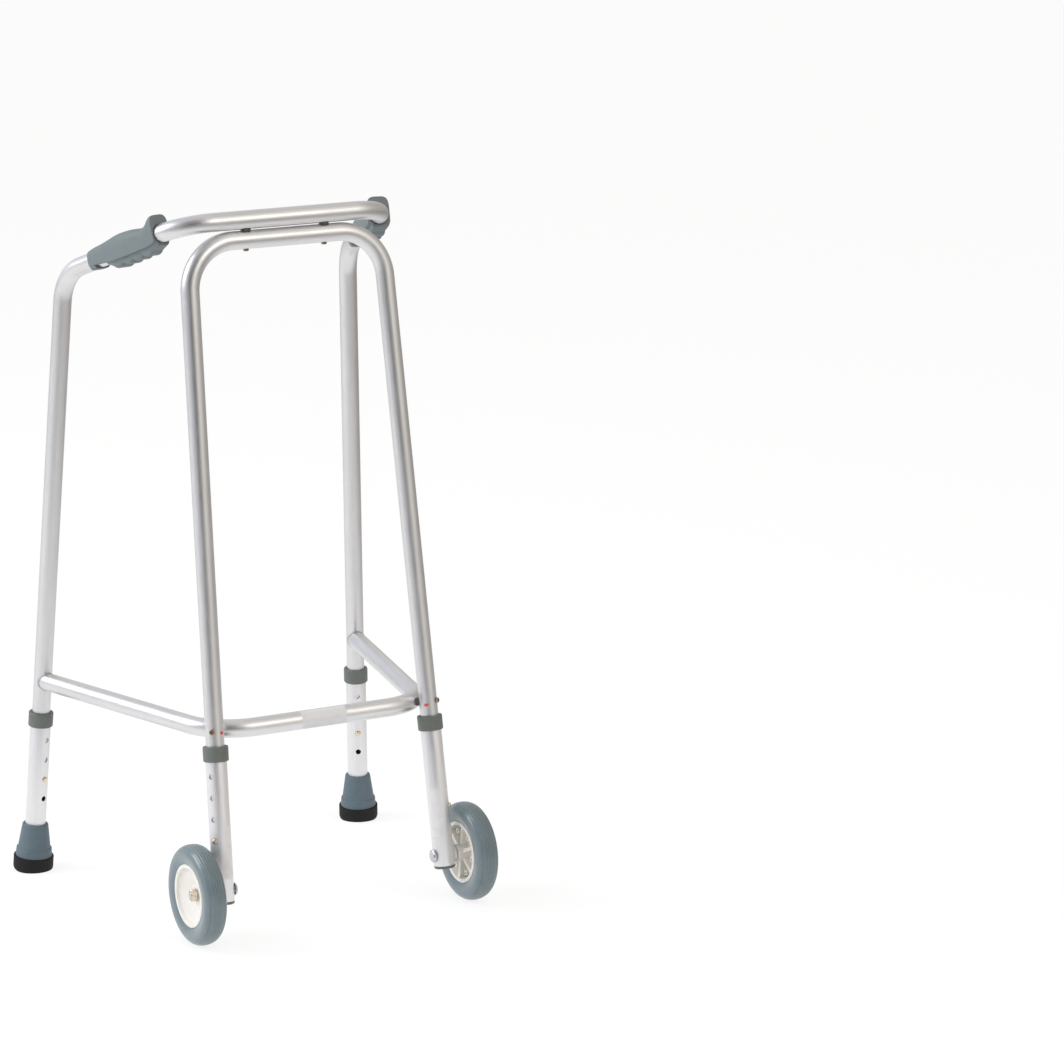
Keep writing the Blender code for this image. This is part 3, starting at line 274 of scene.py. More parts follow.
def smallMetal(name, colour, second, roughness):
    # plated steel or brass, a little uneven
    material, tree, shader = startMaterial(name, roughness, 1.0)
    place = addNode(tree, "ShaderNodeTexCoord").outputs["Object"]
    wear = useGroup(tree, handling, Place=place, Size=6.0)
    base = mixColours(tree, wear.outputs["Smudge"], colour, second)
    rough = rangeNode(tree, wear.outputs["Smudge"], 0.0, 1.0, roughness - 0.05, roughness + 0.10)
    setLook(tree, shader, base, rough, wear.outputs["Scratch"], 0.2, 0.00002)
    return material


def labelFilm(name, colour, second, roughness):
    # film with nothing printed on it, a little uneven and rubbed
    material, tree, shader = startMaterial(name, roughness)
    place = addNode(tree, "ShaderNodeTexCoord").outputs["Object"]
    wear = useGroup(tree, handling, Place=place, Size=3.0)
    skin = useGroup(tree, mouldGrain, Place=place, Grain=0.2, Coarse=0.4)
    base = mixColours(tree, wear.outputs["Smudge"], colour, second)
    rough = rangeNode(tree, wear.outputs["Smudge"], 0.0, 1.0, roughness, roughness + 0.15)
    setLook(tree, shader, base, rough, skin.outputs["Patches"], 0.2, 0.00015)
    return material


# each has a name, two colours that it wanders between, and its roughness; a tube may also have how metallic
# it is, and a moulded piece has how strong its fine grain is, the grain's depth, and how coarse it is
finishes = {
    "frame": tubeMetal("satin aluminium", (0.855, 0.855, 0.86), (0.80, 0.80, 0.805), 0.38),
    "leg": tubeMetal("leg aluminium", (0.93, 0.925, 0.94), (0.885, 0.88, 0.895), 0.45, 0.84),
    "grip": mouldedPlastic("grip rubber", (0.195, 0.236, 0.246), (0.213, 0.255, 0.265), 0.50,
                           0.5, 0.00006, 0.8),
    "collar": mouldedPlastic("collar plastic", (0.155, 0.178, 0.160), (0.175, 0.198, 0.178), 0.45,
                             0.6, 0.00003),
    "ferrule": mouldedPlastic("foot rubber", (0.120, 0.172, 0.205), (0.140, 0.195, 0.230), 0.50,
                              0.5, 0.00004),
    "sole": mouldedPlastic("sole rubber", (0.004, 0.004, 0.0035), (0.007, 0.007, 0.006), 0.75,
                           0.8, 0.00006),
    "tyre": glossyRubber("tyre rubber", (0.165, 0.225, 0.250), (0.190, 0.250, 0.275), 0.32,
                         0.4, 0.00003),
    "hub": milkyNylon("hub nylon", (0.955, 0.915, 0.845), (0.965, 0.935, 0.88), 0.36, 0.4, 0.00002),
    "endRing": mouldedPlastic("end ring plastic", (0.42, 0.43, 0.44), (0.47, 0.48, 0.49), 0.45,
                              0.5, 0.00002),
    # painted shade: the saddles are near black, which also stands for the shade in the gaps where they sit
    # between the tubes
    "saddle": mouldedPlastic("saddle plastic and gap shade", (0.085, 0.088, 0.078), (0.11, 0.112, 0.10), 0.5,
                             0.5, 0.00003),
    "zinc": smallMetal("zinc plate", (0.66, 0.67, 0.69), (0.52, 0.53, 0.55), 0.28),
    "bronze": smallMetal("bronze plate", (0.40, 0.31, 0.22), (0.28, 0.21, 0.15), 0.35),
    "gold": smallMetal("yellow zinc plate", (0.78, 0.68, 0.53), (0.58, 0.51, 0.40), 0.32),
    "brass": smallMetal("brass", (0.92, 0.76, 0.52), (0.82, 0.65, 0.43), 0.30),
    "spring": smallMetal("spring steel", (0.45, 0.46, 0.48), (0.36, 0.37, 0.39), 0.30),
    "label": labelFilm("label film", (0.93, 0.93, 0.94), (0.87, 0.87, 0.88), 0.30),
    "redMark": labelFilm("red check mark", (0.80, 0.075, 0.045), (0.85, 0.16, 0.12), 0.35),
}
print("materials ready:", len(finishes))


# Making pieces

def asMesh(bm):
    mesh = bpy.data.meshes.new("work")
    bm.to_mesh(mesh)
    bm.free()
    return mesh


def asBmesh(mesh):
    bm = bmesh.new()
    bm.from_mesh(mesh)
    return bm


def addObject(name, data):
    thing = bpy.data.objects.new(name, data)
    bpy.context.scene.collection.objects.link(thing)
    return thing


def addPiece(name, mesh, finish, body, stands=(), sharp=35):
    # stands are the CAD nodes that the piece stands for
    mesh.name = name
    mesh.shade_smooth()
    mesh.set_sharp_from_angle(angle=math.radians(sharp))
    mesh.materials.clear()
    mesh.materials.append(finishes[finish])
    piece = addObject(name, mesh)
    if body:
        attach(piece, body)
    for node in stands:
        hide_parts(node)
    return piece


def mergeDoubles(bm):
    bmesh.ops.remove_doubles(bm, verts=bm.verts, dist=1e-6)
    bmesh.ops.recalc_face_normals(bm, faces=bm.faces)


def keepStraight(bm, start):
    # keeps each point's place on the straight tube, for a grain that follows the tube through its bends
    layer = bm.verts.layers.float_vector.new("straight")
    for vert in bm.verts:
        vert[layer] = vert.co + Vector((start, 0, 0))


def vertsIn(geom):
    return [g for g in geom if isinstance(g, bmesh.types.BMVert)]


def rimsIn(geom):
    return [g for g in geom if isinstance(g, bmesh.types.BMEdge) and g.is_boundary]


def turned(profile, around, closed=True):
    # spins a profile of (radius, height) points about Z; a third number rounds that corner
    bm = bmesh.new()
    points = [bm.verts.new((p[0], 0, p[1])) for p in profile]
    edges = [bm.edges.new(pair) for pair in zip(points, points[1:])]
    if closed:
        edges.append(bm.edges.new((points[-1], points[0])))
    outline = set(points)
    for point, spec in zip(points, profile):
        if len(spec) > 2 and spec[2] > 0:
            made = bmesh.ops.bevel(bm, geom=[point], offset=spec[2], offset_type="OFFSET", affect="VERTICES",
                                   segments=3, profile=0.5, material=-1)
            outline.discard(point)
            outline.update(made["verts"])
    outline = [v for v in outline if v.is_valid]
    lines = list({e for v in outline for e in v.link_edges})
    bmesh.ops.spin(bm, geom=outline + lines, cent=(0, 0, 0), axis=(0, 0, 1), angle=math.tau,
                   steps=around, use_merge=True)
    mergeDoubles(bm)
    return bm


def cutWith(mesh, cutters, operation="DIFFERENCE"):
    # the cutters are bmeshes, and the cut mesh comes back as a new one
    thing = addObject("work", mesh)
    tools = [addObject("tool", asMesh(cutter)) for cutter in cutters]
    for tool in tools:
        step = thing.modifiers.new("cut", "BOOLEAN")
        step.operation = operation
        step.solver = "EXACT"
        step.object = tool
    done = bpy.data.meshes.new_from_object(thing.evaluated_get(bpy.context.evaluated_depsgraph_get()))
    for used in [*tools, thing]:
        bpy.data.objects.remove(used, do_unlink=True)
    return done


def rod(radius, low, high, around, place):
    # from low to high along the Z of its place
    bm = bmesh.new()
    middle = Matrix.Translation((0, 0, (low + high) / 2))
    bmesh.ops.create_cone(bm, cap_ends=True, segments=around, radius1=radius, radius2=radius,
                          depth=high - low, matrix=place @ middle)
    return bm


def slab(outline, thickness, place=Matrix.Identity(4)):
    # an outline in the XZ plane, made thick along Y
    bm = bmesh.new()
    face = bm.faces.new([bm.verts.new((x, -thickness / 2, z)) for x, z in outline])
    grown = bmesh.ops.extrude_face_region(bm, geom=[face])["geom"]
    bmesh.ops.translate(bm, verts=vertsIn(grown), vec=(0, thickness, 0))
    bmesh.ops.recalc_face_normals(bm, faces=bm.faces)
    bm.transform(place)
    return bm


def block(low, high, place=Matrix.Identity(4)):
    bm = bmesh.new()
    bmesh.ops.create_cube(bm, size=1)
    for vert in bm.verts:
        vert.co = [low[i] if vert.co[i] < 0 else high[i] for i in range(3)]
    bm.transform(place)
    return bm


# Places on the frame

def corner(name, side):
    x, y, z = frameShape[name]
    return Vector((x * sides[side], y, z))


def axesAt(start, along, towards):
    z = along.normalized()
    x = (towards - z * towards.dot(z)).normalized()
    return Matrix.Translation(start) @ Matrix((x, z.cross(x), z)).transposed().to_4x4()


def legAxes(side, end):
    # Z runs up the leg, and X points the way its button does
    foot = corner(f"{end}Foot", side)
    up = corner(f"{end}Top", side) - foot
    angle = math.radians(legShape["buttonAngle"][end])
    return axesAt(foot, up, Vector((sides[side] * math.sin(angle), -math.cos(angle), 0)))


def braceEndAxes(side):
    start = corner("braceRear", side)
    return axesAt(start, corner("braceCorner", side) - start, Vector((0, 0, 1)))


def swingAbout(centre, angle, axis):
    return Matrix.Translation(centre) @ Matrix.Rotation(angle, 4, axis) @ Matrix.Translation(-centre)


def bentPath(corners, bend):
    # straight runs and bends, each with its starting axes and its length
    ways = [(b - a).normalized() for a, b in zip(corners, corners[1:])]
    towards = Vector((0, 0, 1)) if abs(ways[0].z) < 0.9 else Vector((1, 0, 0))
    here = axesAt(corners[0], ways[0], towards)
    path = []
    for number, way in enumerate(ways):
        target = corners[number + 1]
        trim = 0
        if number + 1 < len(ways):
            turn = way.angle(ways[number + 1])
            trim = bend * math.tan(turn / 2)
        run = (target - here.translation).length - trim
        path.append({"axes": here.copy(), "length": run, "turn": 0})
        here = here @ Matrix.Translation((0, 0, run))
        if trim:
            axis = way.cross(ways[number + 1]).normalized()
            centre = here.translation + axis.cross(way) * bend
            path.append({"axes": here.copy(), "length": bend * turn, "turn": turn,
                         "axis": axis, "centre": centre})
            here = swingAbout(centre, turn, axis) @ here
    return path


def onPath(path, along):
    for step in path:
        if along <= step["length"] or step is path[-1]:
            break
        along -= step["length"]
    if not step["turn"]:
        return step["axes"] @ Matrix.Translation((0, 0, along))
    return swingAbout(step["centre"], step["turn"] * along / step["length"], step["axis"]) @ step["axes"]


def pathPlaces(path, run=0.03, perBend=22):
    places, start = [0.0], 0.0
    for step in path:
        count = perBend if step["turn"] else max(1, round(step["length"] / run))
        places += [start + step["length"] * n / count for n in range(1, count + 1)]
        start += step["length"]
    return places


def growTube(bm, radius, around, places):
    # a straight open tube along Z, one ring at each place
    bmesh.ops.create_circle(bm, segments=around, radius=radius, matrix=Matrix.Translation((0, 0, places[0])))
    ring = bm.edges[:]
    for here, there in zip(places, places[1:]):
        grown = bmesh.ops.extrude_edge_only(bm, edges=ring)["geom"]
        bmesh.ops.translate(bm, verts=vertsIn(grown), vec=(0, 0, there - here))
        ring = rimsIn(grown)


def followPath(bm, path):
    axes = {}
    for vert in bm.verts:
        along = round(vert.co.z, 7)
        if along not in axes:
            axes[along] = onPath(path, along)
        vert.co = axes[along] @ Vector((vert.co.x, vert.co.y, 0))


def bentTube(path, grainStart):
    # the outer wall, a lip at both ends, and a short piece of the bore, closed where no one looks
    radius, wall = frameShape["tube"], frameShape["wall"]
    places = pathPlaces(path)
    bm = bmesh.new()
    growTube(bm, radius, frameShape["around"], places)
    lip = bmesh.ops.extrude_edge_only(bm, edges=[e for e in bm.edges if e.is_boundary])["geom"]
    narrower = (radius - wall) / radius
    bmesh.ops.scale(bm, verts=vertsIn(lip), vec=(narrower, narrower, 1))
    inside = bmesh.ops.extrude_edge_only(bm, edges=rimsIn(lip))["geom"]
    for vert in vertsIn(inside):
        vert.co.z += frameShape["plugDepth"] if vert.co.z < places[-1] / 2 else -frameShape["plugDepth"]
    bmesh.ops.holes_fill(bm, edges=rimsIn(inside))
    bmesh.ops.recalc_face_normals(bm, faces=bm.faces)
    keepStraight(bm, grainStart)
    followPath(bm, path)
    return bm


# Frame tubes

def tubeEnd(side, end):
    return legAxes(side, end) @ Vector((0, 0, legShape[end]["tubeEnd"]))


paths = {
    "upper": bentPath([
        tubeEnd("right", "rear"), corner("rearTop", "right"), corner("crossbar", "right"),
        corner("crossbar", "left"), corner("rearTop", "left"), tubeEnd("left", "rear"),
    ], frameShape["handleBend"]),
    "front": bentPath([
        tubeEnd("right", "front"), corner("frontTop", "right"),
        corner("frontTop", "left"), tubeEnd("left", "front"),
    ], frameShape["frontBend"]),
    "brace": bentPath([
        corner("braceRear", "right"), corner("braceCorner", "right"),
        corner("braceCorner", "left"), corner("braceRear", "left"),
    ], frameShape["braceBend"]),
}

# each tube starts at its own place in the drawn grain
upperTube = asMesh(bentTube(paths["upper"], 0.0))
addPiece("upperTube", upperTube, "frame", "frame", ["upper_frame_tube"])
frontHoop = asMesh(bentTube(paths["front"], 0.3))
addPiece("frontHoop", frontHoop, "frame", "frame", ["front_frame_tube"])

endRing = {"gap": 0.0003, "wall": 0.0020, "overlap": 0.7, "proud": 0.0004, "trim": 0.0045, "spigot": 0.0150}


def legCutter(side, radius):
    return rod(radius, *legShape["braceReach"], 64, legAxes(side, "rear"))


def endCutter(side, depth):
    # takes off the brace's end, down to a depth from the rear leg's middle
    half = 0.03
    return block((-half, -half, -half), (half, half, depth), braceEndAxes(side))


brace = asMesh(bentTube(paths["brace"], 0.6))
hollow = frameShape["tube"] + endRing["gap"]
ringEnd = hollow + endRing["gap"] + endRing["wall"]
braceEnd = endRing["trim"] + endRing["wall"] * endRing["overlap"]
cutters = []
for side in sides:
    cutters += [legCutter(side, ringEnd), endCutter(side, braceEnd)]
addPiece("brace", cutWith(brace, cutters), "frame", "frame", ["lower_brace_tube"])
print("frame tubes bent")

for side in sides:
    outside = frameShape["tube"] + endRing["proud"]
    ring = asMesh(rod(outside, 0, ringEnd + endRing["spigot"], 64, braceEndAxes(side)))
    ring = cutWith(ring, [legCutter(side, ringEnd - endRing["gap"])], "INTERSECT")
    ring = cutWith(ring, [legCutter(side, hollow), endCutter(side, endRing["trim"])])
    addPiece(f"braceEndRing_{side}", ring, "endRing", "frame", [f"brace_end_saddle_{side}"], 40)


# Telescopic legs

collarShape = {"height": 0.0180, "wall": 0.0022, "lip": 0.0025, "gap": 0.0003, "round": 0.0013}


def holeDrill(height):
    towardsButton = Matrix.Translation((0, 0, height)) @ Matrix.Rotation(math.pi / 2, 4, "Y")
    return rod(legShape["hole"], *legShape["drill"], 32, towardsButton)


def legTube(end):
    leg, bore, outside, edge = legShape[end], legShape["bore"], legShape["outside"], legShape["edge"]
    tube = turned([(bore, leg["bottom"]), (outside, leg["bottom"], edge), (outside, leg["top"], edge),
                   (bore, leg["top"])], legShape["around"])
    drills = [holeDrill(leg["lowHole"] + legShape["pitch"] * n) for n in range(legShape["holes"])]
    return asBmesh(cutWith(asMesh(tube), drills))


def legCollar(end):
    # a sleeve round the leg's upper end, with a lip over the leg's edge
    collar, bore = collarShape, legShape["bore"] + collarShape["gap"]
    top = legShape[end]["top"] + collar["gap"] + collar["lip"]
    low = top - collar["height"]
    inner = legShape["outside"] + collar["gap"]
    outer = inner + collar["wall"]
    return turned([
        (inner, low), (outer, low, collar["round"]), (outer, top, collar["round"]),
        (bore, top, legShape["edge"]), (bore, top - collar["lip"]), (inner, top - collar["lip"]),
    ], legShape["around"])


for side in sides:
    for end in ("rear", "front"):
        body = f"{end}_leg_{side}"
        tube = legTube(end)
        keepStraight(tube, 0.1 * len(bpy.data.objects))  # another place in the grain for each leg
        tube.transform(legAxes(side, end))
        addPiece(f"{end}Leg_{side}", asMesh(tube), "leg", body, [f"{end}_leg_tube_{side}"])
        collar = legCollar(end)
        collar.transform(legAxes(side, end))
        addPiece(f"{end}Collar_{side}", asMesh(collar), "collar", body,
                 [f"{end}_leg_collar_{side}"])
print("legs drilled")

for side in sides:
    for end in ("rear", "front"):
        name = f"button_spring_{end}_{side}"
        bm = asBmesh(nodes[name].data)
        bmesh.ops.remove_doubles(bm, verts=bm.verts, dist=1e-6)
        spring = addPiece(f"buttonSpring_{end}_{side}", asMesh(bm), "spring", None, [name])
        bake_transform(spring)


# Rubber feet

footShape = {
    "height": 0.0605,
    "top": 0.0160,
    "low": 0.0204,
    "step": 0.0216,
    "flare": 0.0226,
    "stepAt": 0.0290,
    "floor": 0.0165,
    "seat": 0.0290,  # the rubber's top inside, just under the leg tube's end
    "gap": 0.0003,
    "sole": 0.0248,
    "soleHeight": 0.0190,
    "soleRound": 0.0075,
    "soleTurn": 80,
    "soleSteps": 6,
    "below": 0.0025,  # the sole starts below the floor, and is cut off level
    "around": 96,
}


def footBody():
    foot = footShape
    bore = legShape["outside"] + foot["gap"]
    step, low, stepAt, height = foot["step"], foot["low"], foot["stepAt"], foot["height"]
    return turned([
        (0.0, foot["floor"]), (foot["flare"], foot["floor"]), (foot["flare"], foot["soleHeight"]),
        (step + 0.0002, stepAt - 0.0004, 0.0004), (low - 0.0002, stepAt + 0.0004, 0.0003),
        (low - 0.0003, stepAt + 0.0012, 0.0004), (low - 0.0030, height - 0.0110, 0.002),
        (foot["top"], height - 0.0012, 0.0009), (foot["top"] - 0.0012, height, 0.0006),
        (bore, height, 0.0004), (bore, foot["seat"]), (0.0, foot["seat"]),
    ], foot["around"], closed=False)


def footSole(axes):
    foot = footShape
    edge = []
    for step in range(foot["soleSteps"] + 1):
        angle = math.radians(foot["soleTurn"]) * step / foot["soleSteps"]
        edge.append((foot["sole"] - foot["soleRound"] * (1 - math.cos(angle)),
                     foot["soleRound"] - foot["below"] - foot["soleRound"] * math.sin(angle)))
    top = foot["floor"] - foot["gap"]
    rebate = foot["flare"] + foot["gap"]
    sole = turned([
        (0, -foot["below"]), (edge[-1][0], -foot["below"]), *edge[::-1],
        (foot["sole"], foot["soleHeight"] - 0.0006, 0.0005), (rebate, foot["soleHeight"], 0.0003),
        (rebate, top), (0, top),
    ], foot["around"], closed=False)
    sole.transform(axes)
    underground = block((-0.3, -0.2, -0.1), (0.3, 0.4, 0.0))
    return cutWith(asMesh(sole), [underground])


for side in sides:
    body = f"rear_leg_{side}"
    ferrule = footBody()
    ferrule.transform(legAxes(side, "rear"))
    addPiece(f"footBody_{side}", asMesh(ferrule), "ferrule", body, [f"foot_ferrule_{side}"])
    sole = footSole(legAxes(side, "rear"))
    addPiece(f"footSole_{side}", sole, "sole", body, [f"foot_sole_{side}"])
print("feet moulded")


# Wheels

wheelShape = {
    "radius": 0.0600,
    "width": 0.0285,
    "bore": 0.0380,
    "bead": 0.0115,  # half the width of the tyre's seat on the rim
    "x": 0.1803,
    "y": -0.175764,
    "belly": 0.0015,  # how much nearer the axle the widest place lies than the middle of the tyre's height
    "fullness": 0.86,  # 1 for an ellipse, and less for a fuller one
    "grooves": 7,
    "groovePitch": 0.0029,
    "grooveDepth": 0.00055,
    "points": 130,
    "around": 128,
}


def wheelAxes(side):
    middle = Vector((sides[side] * wheelShape["x"], wheelShape["y"], wheelShape["radius"]))
    return axesAt(middle, Vector((sides[side], 0, 0)), Vector((0, 0, 1)))


def tyreProfile():
    tyre = wheelShape
    half, bore, bead = tyre["width"] / 2, tyre["bore"], tyre["bead"]
    middle = (tyre["radius"] + bore) / 2 - tyre["belly"]
    high, low = tyre["radius"] - middle, middle - bore
    grooved = tyre["grooves"] / 2 * tyre["groovePitch"]
    points = []
    for step in range(tyre["points"] + 1):
        angle = math.pi * step / tyre["points"]
        x, y = math.cos(angle), math.sin(angle)
        radius = middle + high * y ** tyre["fullness"]
        across = half * math.copysign(abs(x) ** tyre["fullness"], x)
        if abs(across) < grooved:
            wave = math.cos(math.pi * across / tyre["groovePitch"]) ** 2
            radius -= tyre["grooveDepth"] * (1 - wave) ** 2
        points.append((radius, across))
    waist = bore + low * 0.45
    points += [(waist, -half * 0.95), (bore + 0.0006, -bead - 0.0004, 0.0003), (bore, -bead),
               (bore, bead), (bore + 0.0006, bead + 0.0004, 0.0003), (waist, half * 0.95)]
    return points


hubShape = {
    "width": 0.0244,
    "gap": 0.0003,
    "rim": 0.0045,
    "web": 0.0026,
    "dish": 0.0110,
    "slope": 0.0060,  # where the dish meets the rim: this far in, and this deep
    "boss": 0.0105,
    "bossEnd": 0.01755,
    "bore": 0.0063,
    "ribs": 6,
    "ribWidth": 0.0042,
    "ribTurn": 22,
    "recess": 0.0020,
    "bite": 0.0010,  # how far a rib reaches into the boss and the rim
    "peg": 0.0034,
    "pegHole": 0.0017,
    "pegPlace": 0.0258,
    "pegTop": 0.0086,
    "pegFoot": 0.0030,
    "pegHoleEnd": 0.0005,
    "pegHoleStart": 0.0010,  # how far above the peg its drill starts
}


def hubDish():
    # the rim, the dished web and the boss in one turned shape
    hub = hubShape
    face = hub["width"] / 2
    rim = wheelShape["bore"] - hub["gap"]
    inside, slope, web = rim - hub["rim"], hub["slope"], hub["web"]
    floor = face - hub["dish"]
    return turned([
        (hub["bore"], -hub["bossEnd"]), (hub["boss"], -hub["bossEnd"], 0.0004),
        (hub["boss"], floor - web, 0.0008),
        (inside - slope, face - slope - web, 0.002), (inside, face - slope / 2 - web, 0.0006),
        (inside, -face, 0.0004), (rim, -face, 0.0004), (rim, face, 0.0004), (inside + 0.0004, face, 0.0005),
        (inside - 0.0012, face - 0.0034, 0.0008), (inside - slope, face - slope, 0.0025),
        (hub["boss"] + 0.0025, floor, 0.0012), (hub["bore"], floor, 0.0003),
    ], wheelShape["around"])


def ribOutline():
    # from the boss to the rim on the wheel's inner side; its outer edge lies within the web
    hub = hubShape
    face, half = hub["width"] / 2, hub["web"] / 2
    inside = wheelShape["bore"] - hub["gap"] - hub["rim"]
    start, top = hub["boss"] - hub["bite"], -face + hub["recess"]
    return ((start, top), (inside + 0.0009, top), (inside + 0.0009, face - 0.0044 - half),
            (inside - hub["slope"], face - 0.0072 - half), (start, face - hub["dish"] - half))


def hubMesh(side):
    hub = hubShape
    apart = math.tau / hub["ribs"]
    extras, holes = [], []
    for number in range(hub["ribs"]):
        angle = (number + 0.5) * apart - sides[side] * math.radians(hub["ribTurn"])
        extras.append(slab(ribOutline(), hub["ribWidth"], Matrix.Rotation(angle, 4, "Z")))
        stand = Matrix.Rotation(angle + apart / 2, 4, "Z") @ Matrix.Translation((hub["pegPlace"], 0, 0))
        extras.append(rod(hub["peg"], -hub["pegTop"], hub["pegFoot"], 28, stand))
        holeStart = -hub["pegTop"] - hub["pegHoleStart"]
        holes.append(rod(hub["pegHole"], holeStart, -hub["pegHoleEnd"], 20, stand))
    mesh = cutWith(cutWith(asMesh(hubDish()), extras, "UNION"), holes)
    mesh.transform(wheelAxes(side))
    return mesh


for side in sides:
    tyre = turned(tyreProfile(), wheelShape["around"])
    tyre.transform(wheelAxes(side))
    addPiece(f"tyre_{side}_skin", asMesh(tyre), "tyre", f"wheel_{side}", [f"tyre_{side}"])
    addPiece(f"hub_{side}", hubMesh(side), "hub", f"wheel_{side}", [f"wheel_hub_{side}"])
print("wheels turned")


# Handgrips

# places along the handle run from its rear corner; the tables give heights and half widths from its middle
gripShape = {
    "start": 0.0665,
    "end": 0.1985,
    "belly": 0.0122,
    "chin": 0.0140,
    "corner": 2.8,  # how square the upper half's section is, and how square the horn's is
    "hornCorner": 4.2,
    "hornFrom": 0.1780,
    "notchStart": 0.0770,
    "notchEnd": 0.0975,
    "notchDepth": 0.0074,
    "notchEndDepth": 0.0095,
    "stripStart": 0.0980,
    "fingerFirst": 0.1190,
    "fingerPitch": 0.0189,
    "fingers": 4,
    "fingerLow": 0.0213,
    "valley": 0.0178,
    "fingerPower": 2.2,
    "flankSoft": 0.0018,  # roundings: the flank's lower edge, the strip's edge and the crease between them
    "stripSoft": 0.0085,
    "creaseSoft": 0.0006,
    "ringSoft": 0.0024,
    "ringEnd": 0.0060,  # how far past the notch's start the rear ring's rounding ends
    "ringFade": 0.0040,
    "edge": 0.0010,
    "gap": 0.0003,
    "top": (
        (0.0665, 0.0128), (0.0770, 0.0141), (0.0910, 0.0148), (0.1080, 0.0165), (0.1240, 0.0182),
        (0.1380, 0.0180), (0.1520, 0.0168), (0.1650, 0.0147), (0.1740, 0.0139), (0.1800, 0.0144),
        (0.1860, 0.0172), (0.1905, 0.0212), (0.1940, 0.0229), (0.1985, 0.0229),
    ),
    "width": ((0.0665, 0.0129), (0.1000, 0.0142), (0.1400, 0.0152), (0.1750, 0.0148), (0.1985, 0.0136)),
    "flank": (
        (0.0665, 0.0062), (0.0770, 0.0072), (0.0975, 0.0093), (0.1150, 0.0113), (0.1860, 0.0113),
        (0.1985, 0.0085),
    ),
    "strip": ((0.0665, 0.0116), (0.0770, 0.0116), (0.0900, 0.0100), (0.1180, 0.0110), (0.1985, 0.0098)),
    "around": 144,
    "rings": 132,
}


def smoothTable(table, along):
    # a smooth curve through the table's points
    last = len(table) - 1
    for number in range(last):
        (a, low), (b, high) = table[number], table[number + 1]
        if along <= b or number == last - 1:
            before = table[max(number - 1, 0)]
            after = table[min(number + 2, last)]
            slopeA = (high - before[1]) / (b - before[0])
            slopeB = (after[1] - low) / (after[0] - a)
            t = min(max((along - a) / (b - a), 0), 1)
            width = b - a
            return ((2 * t**3 - 3 * t**2 + 1) * low + (t**3 - 2 * t**2 + t) * slopeA * width
                    + (3 * t**2 - 2 * t**3) * high + (t**3 - t**2) * slopeB * width)


def softMin(a, b, k):
    h = max(k - abs(a - b), 0) / k
    return min(a, b) - h * h * k / 4


def softMax(a, b, k):
    return -softMin(-a, -b, k)


def fingerDepth(along):
    # how far down the strip under the flanks reaches
    grip = gripShape
    first = grip["fingerFirst"] - grip["fingerPitch"] / 2
    last = first + grip["fingerPitch"] * grip["fingers"]
    if first < along < last:
        across = (along - first) / grip["fingerPitch"] % 1 * 2 - 1
        bump = 1 - abs(across) ** grip["fingerPower"]
        return grip["valley"] + (grip["fingerLow"] - grip["valley"]) * bump
    table = ((grip["start"], grip["belly"]), (grip["stripStart"], grip["belly"]), (first, grip["valley"]),
             (last, grip["valley"]), (grip["end"], grip["chin"]))
    for (a, low), (b, high) in zip(table, table[1:]):
        if along <= b:
            return low + (high - low) * (along - a) / (b - a)
    return grip["chin"]


def gripRadius(angle, along):
    # how far the grip's skin lies from the tube's middle; the angle runs from straight up
    grip = gripShape
    width = smoothTable(grip["width"], along)
    up, out = math.cos(angle), abs(math.sin(angle))
    if up >= 0:
        top = smoothTable(grip["top"], along)
        horn = max(0, (along - grip["hornFrom"]) / (grip["end"] - grip["hornFrom"]))
        power = grip["corner"] + (grip["hornCorner"] - grip["corner"]) * horn
        return ((up / top) ** power + (out / width) ** power) ** (-1 / power)
    down, out = max(-up, 1e-4), max(out, 1e-4)
    body = softMin(width / out, smoothTable(grip["flank"], along) / down, grip["flankSoft"])
    strip = softMin(smoothTable(grip["strip"], along) / out, fingerDepth(along) / down, grip["stripSoft"])
    past = grip["notchStart"] + grip["ringEnd"] - along
    ring = min(max(past / grip["ringFade"], 0), 1)  # 1 on the rear ring, and 0 past it
    return softMax(body, strip, grip["creaseSoft"] + grip["ringSoft"] * ring)


def gripMesh(axes):
    # a tube of rings moved out to the grip's skin, with its ends turned in to the bore
    grip = gripShape
    start, end, edge = grip["start"], grip["end"], grip["edge"]
    bore = frameShape["tube"] + grip["gap"]
    fine = edge / 5
    places = [start + fine * n for n in range(6)]
    first, last = places[-1], end - edge - fine
    places += [first + (last - first) * n / grip["rings"] for n in range(1, grip["rings"] + 1)]
    places += [last + fine * n for n in range(1, 7)]
    rings = [start] + places + [end]
    bm = bmesh.new()
    growTube(bm, 1.0, grip["around"], rings + [start])
    bm.verts.ensure_lookup_table()
    for number, vert in enumerate(bm.verts):
        ring = number // grip["around"]
        angle = math.atan2(vert.co.y, vert.co.x)
        along = vert.co.z
        if ring in (0, len(rings)):
            reach, along = bore, start
        elif ring == len(rings) - 1:
            reach, along = bore + 0.0004, end
        else:
            reach = gripRadius(angle, along)
            fromEnd = min(along - start, end - along)
            if fromEnd < edge:
                soft = 1 - fromEnd / edge
                reach -= edge * (1 - math.sqrt(max(0, 1 - soft * soft)))
        vert.co = (reach * math.cos(angle), reach * math.sin(angle), along)
    mergeDoubles(bm)
    notch = slab(((-0.04, grip["notchStart"]), (-grip["notchDepth"], grip["notchStart"]),
                  (-grip["notchEndDepth"], grip["notchEnd"]), (-0.04, grip["notchEnd"])), 0.08)
    mesh = cutWith(asMesh(bm), [notch])
    mesh.transform(axes)
    return mesh


for side in sides:
    start = corner("rearTop", side)
    axes = axesAt(start, corner("crossbar", side) - start, Vector((0, 0, 1)))
    addPiece(f"grip_{side}", gripMesh(axes), "grip", "frame", [f"handgrip_{side}"], 50)
print("grips shaped")


# Blank labels and red check marks

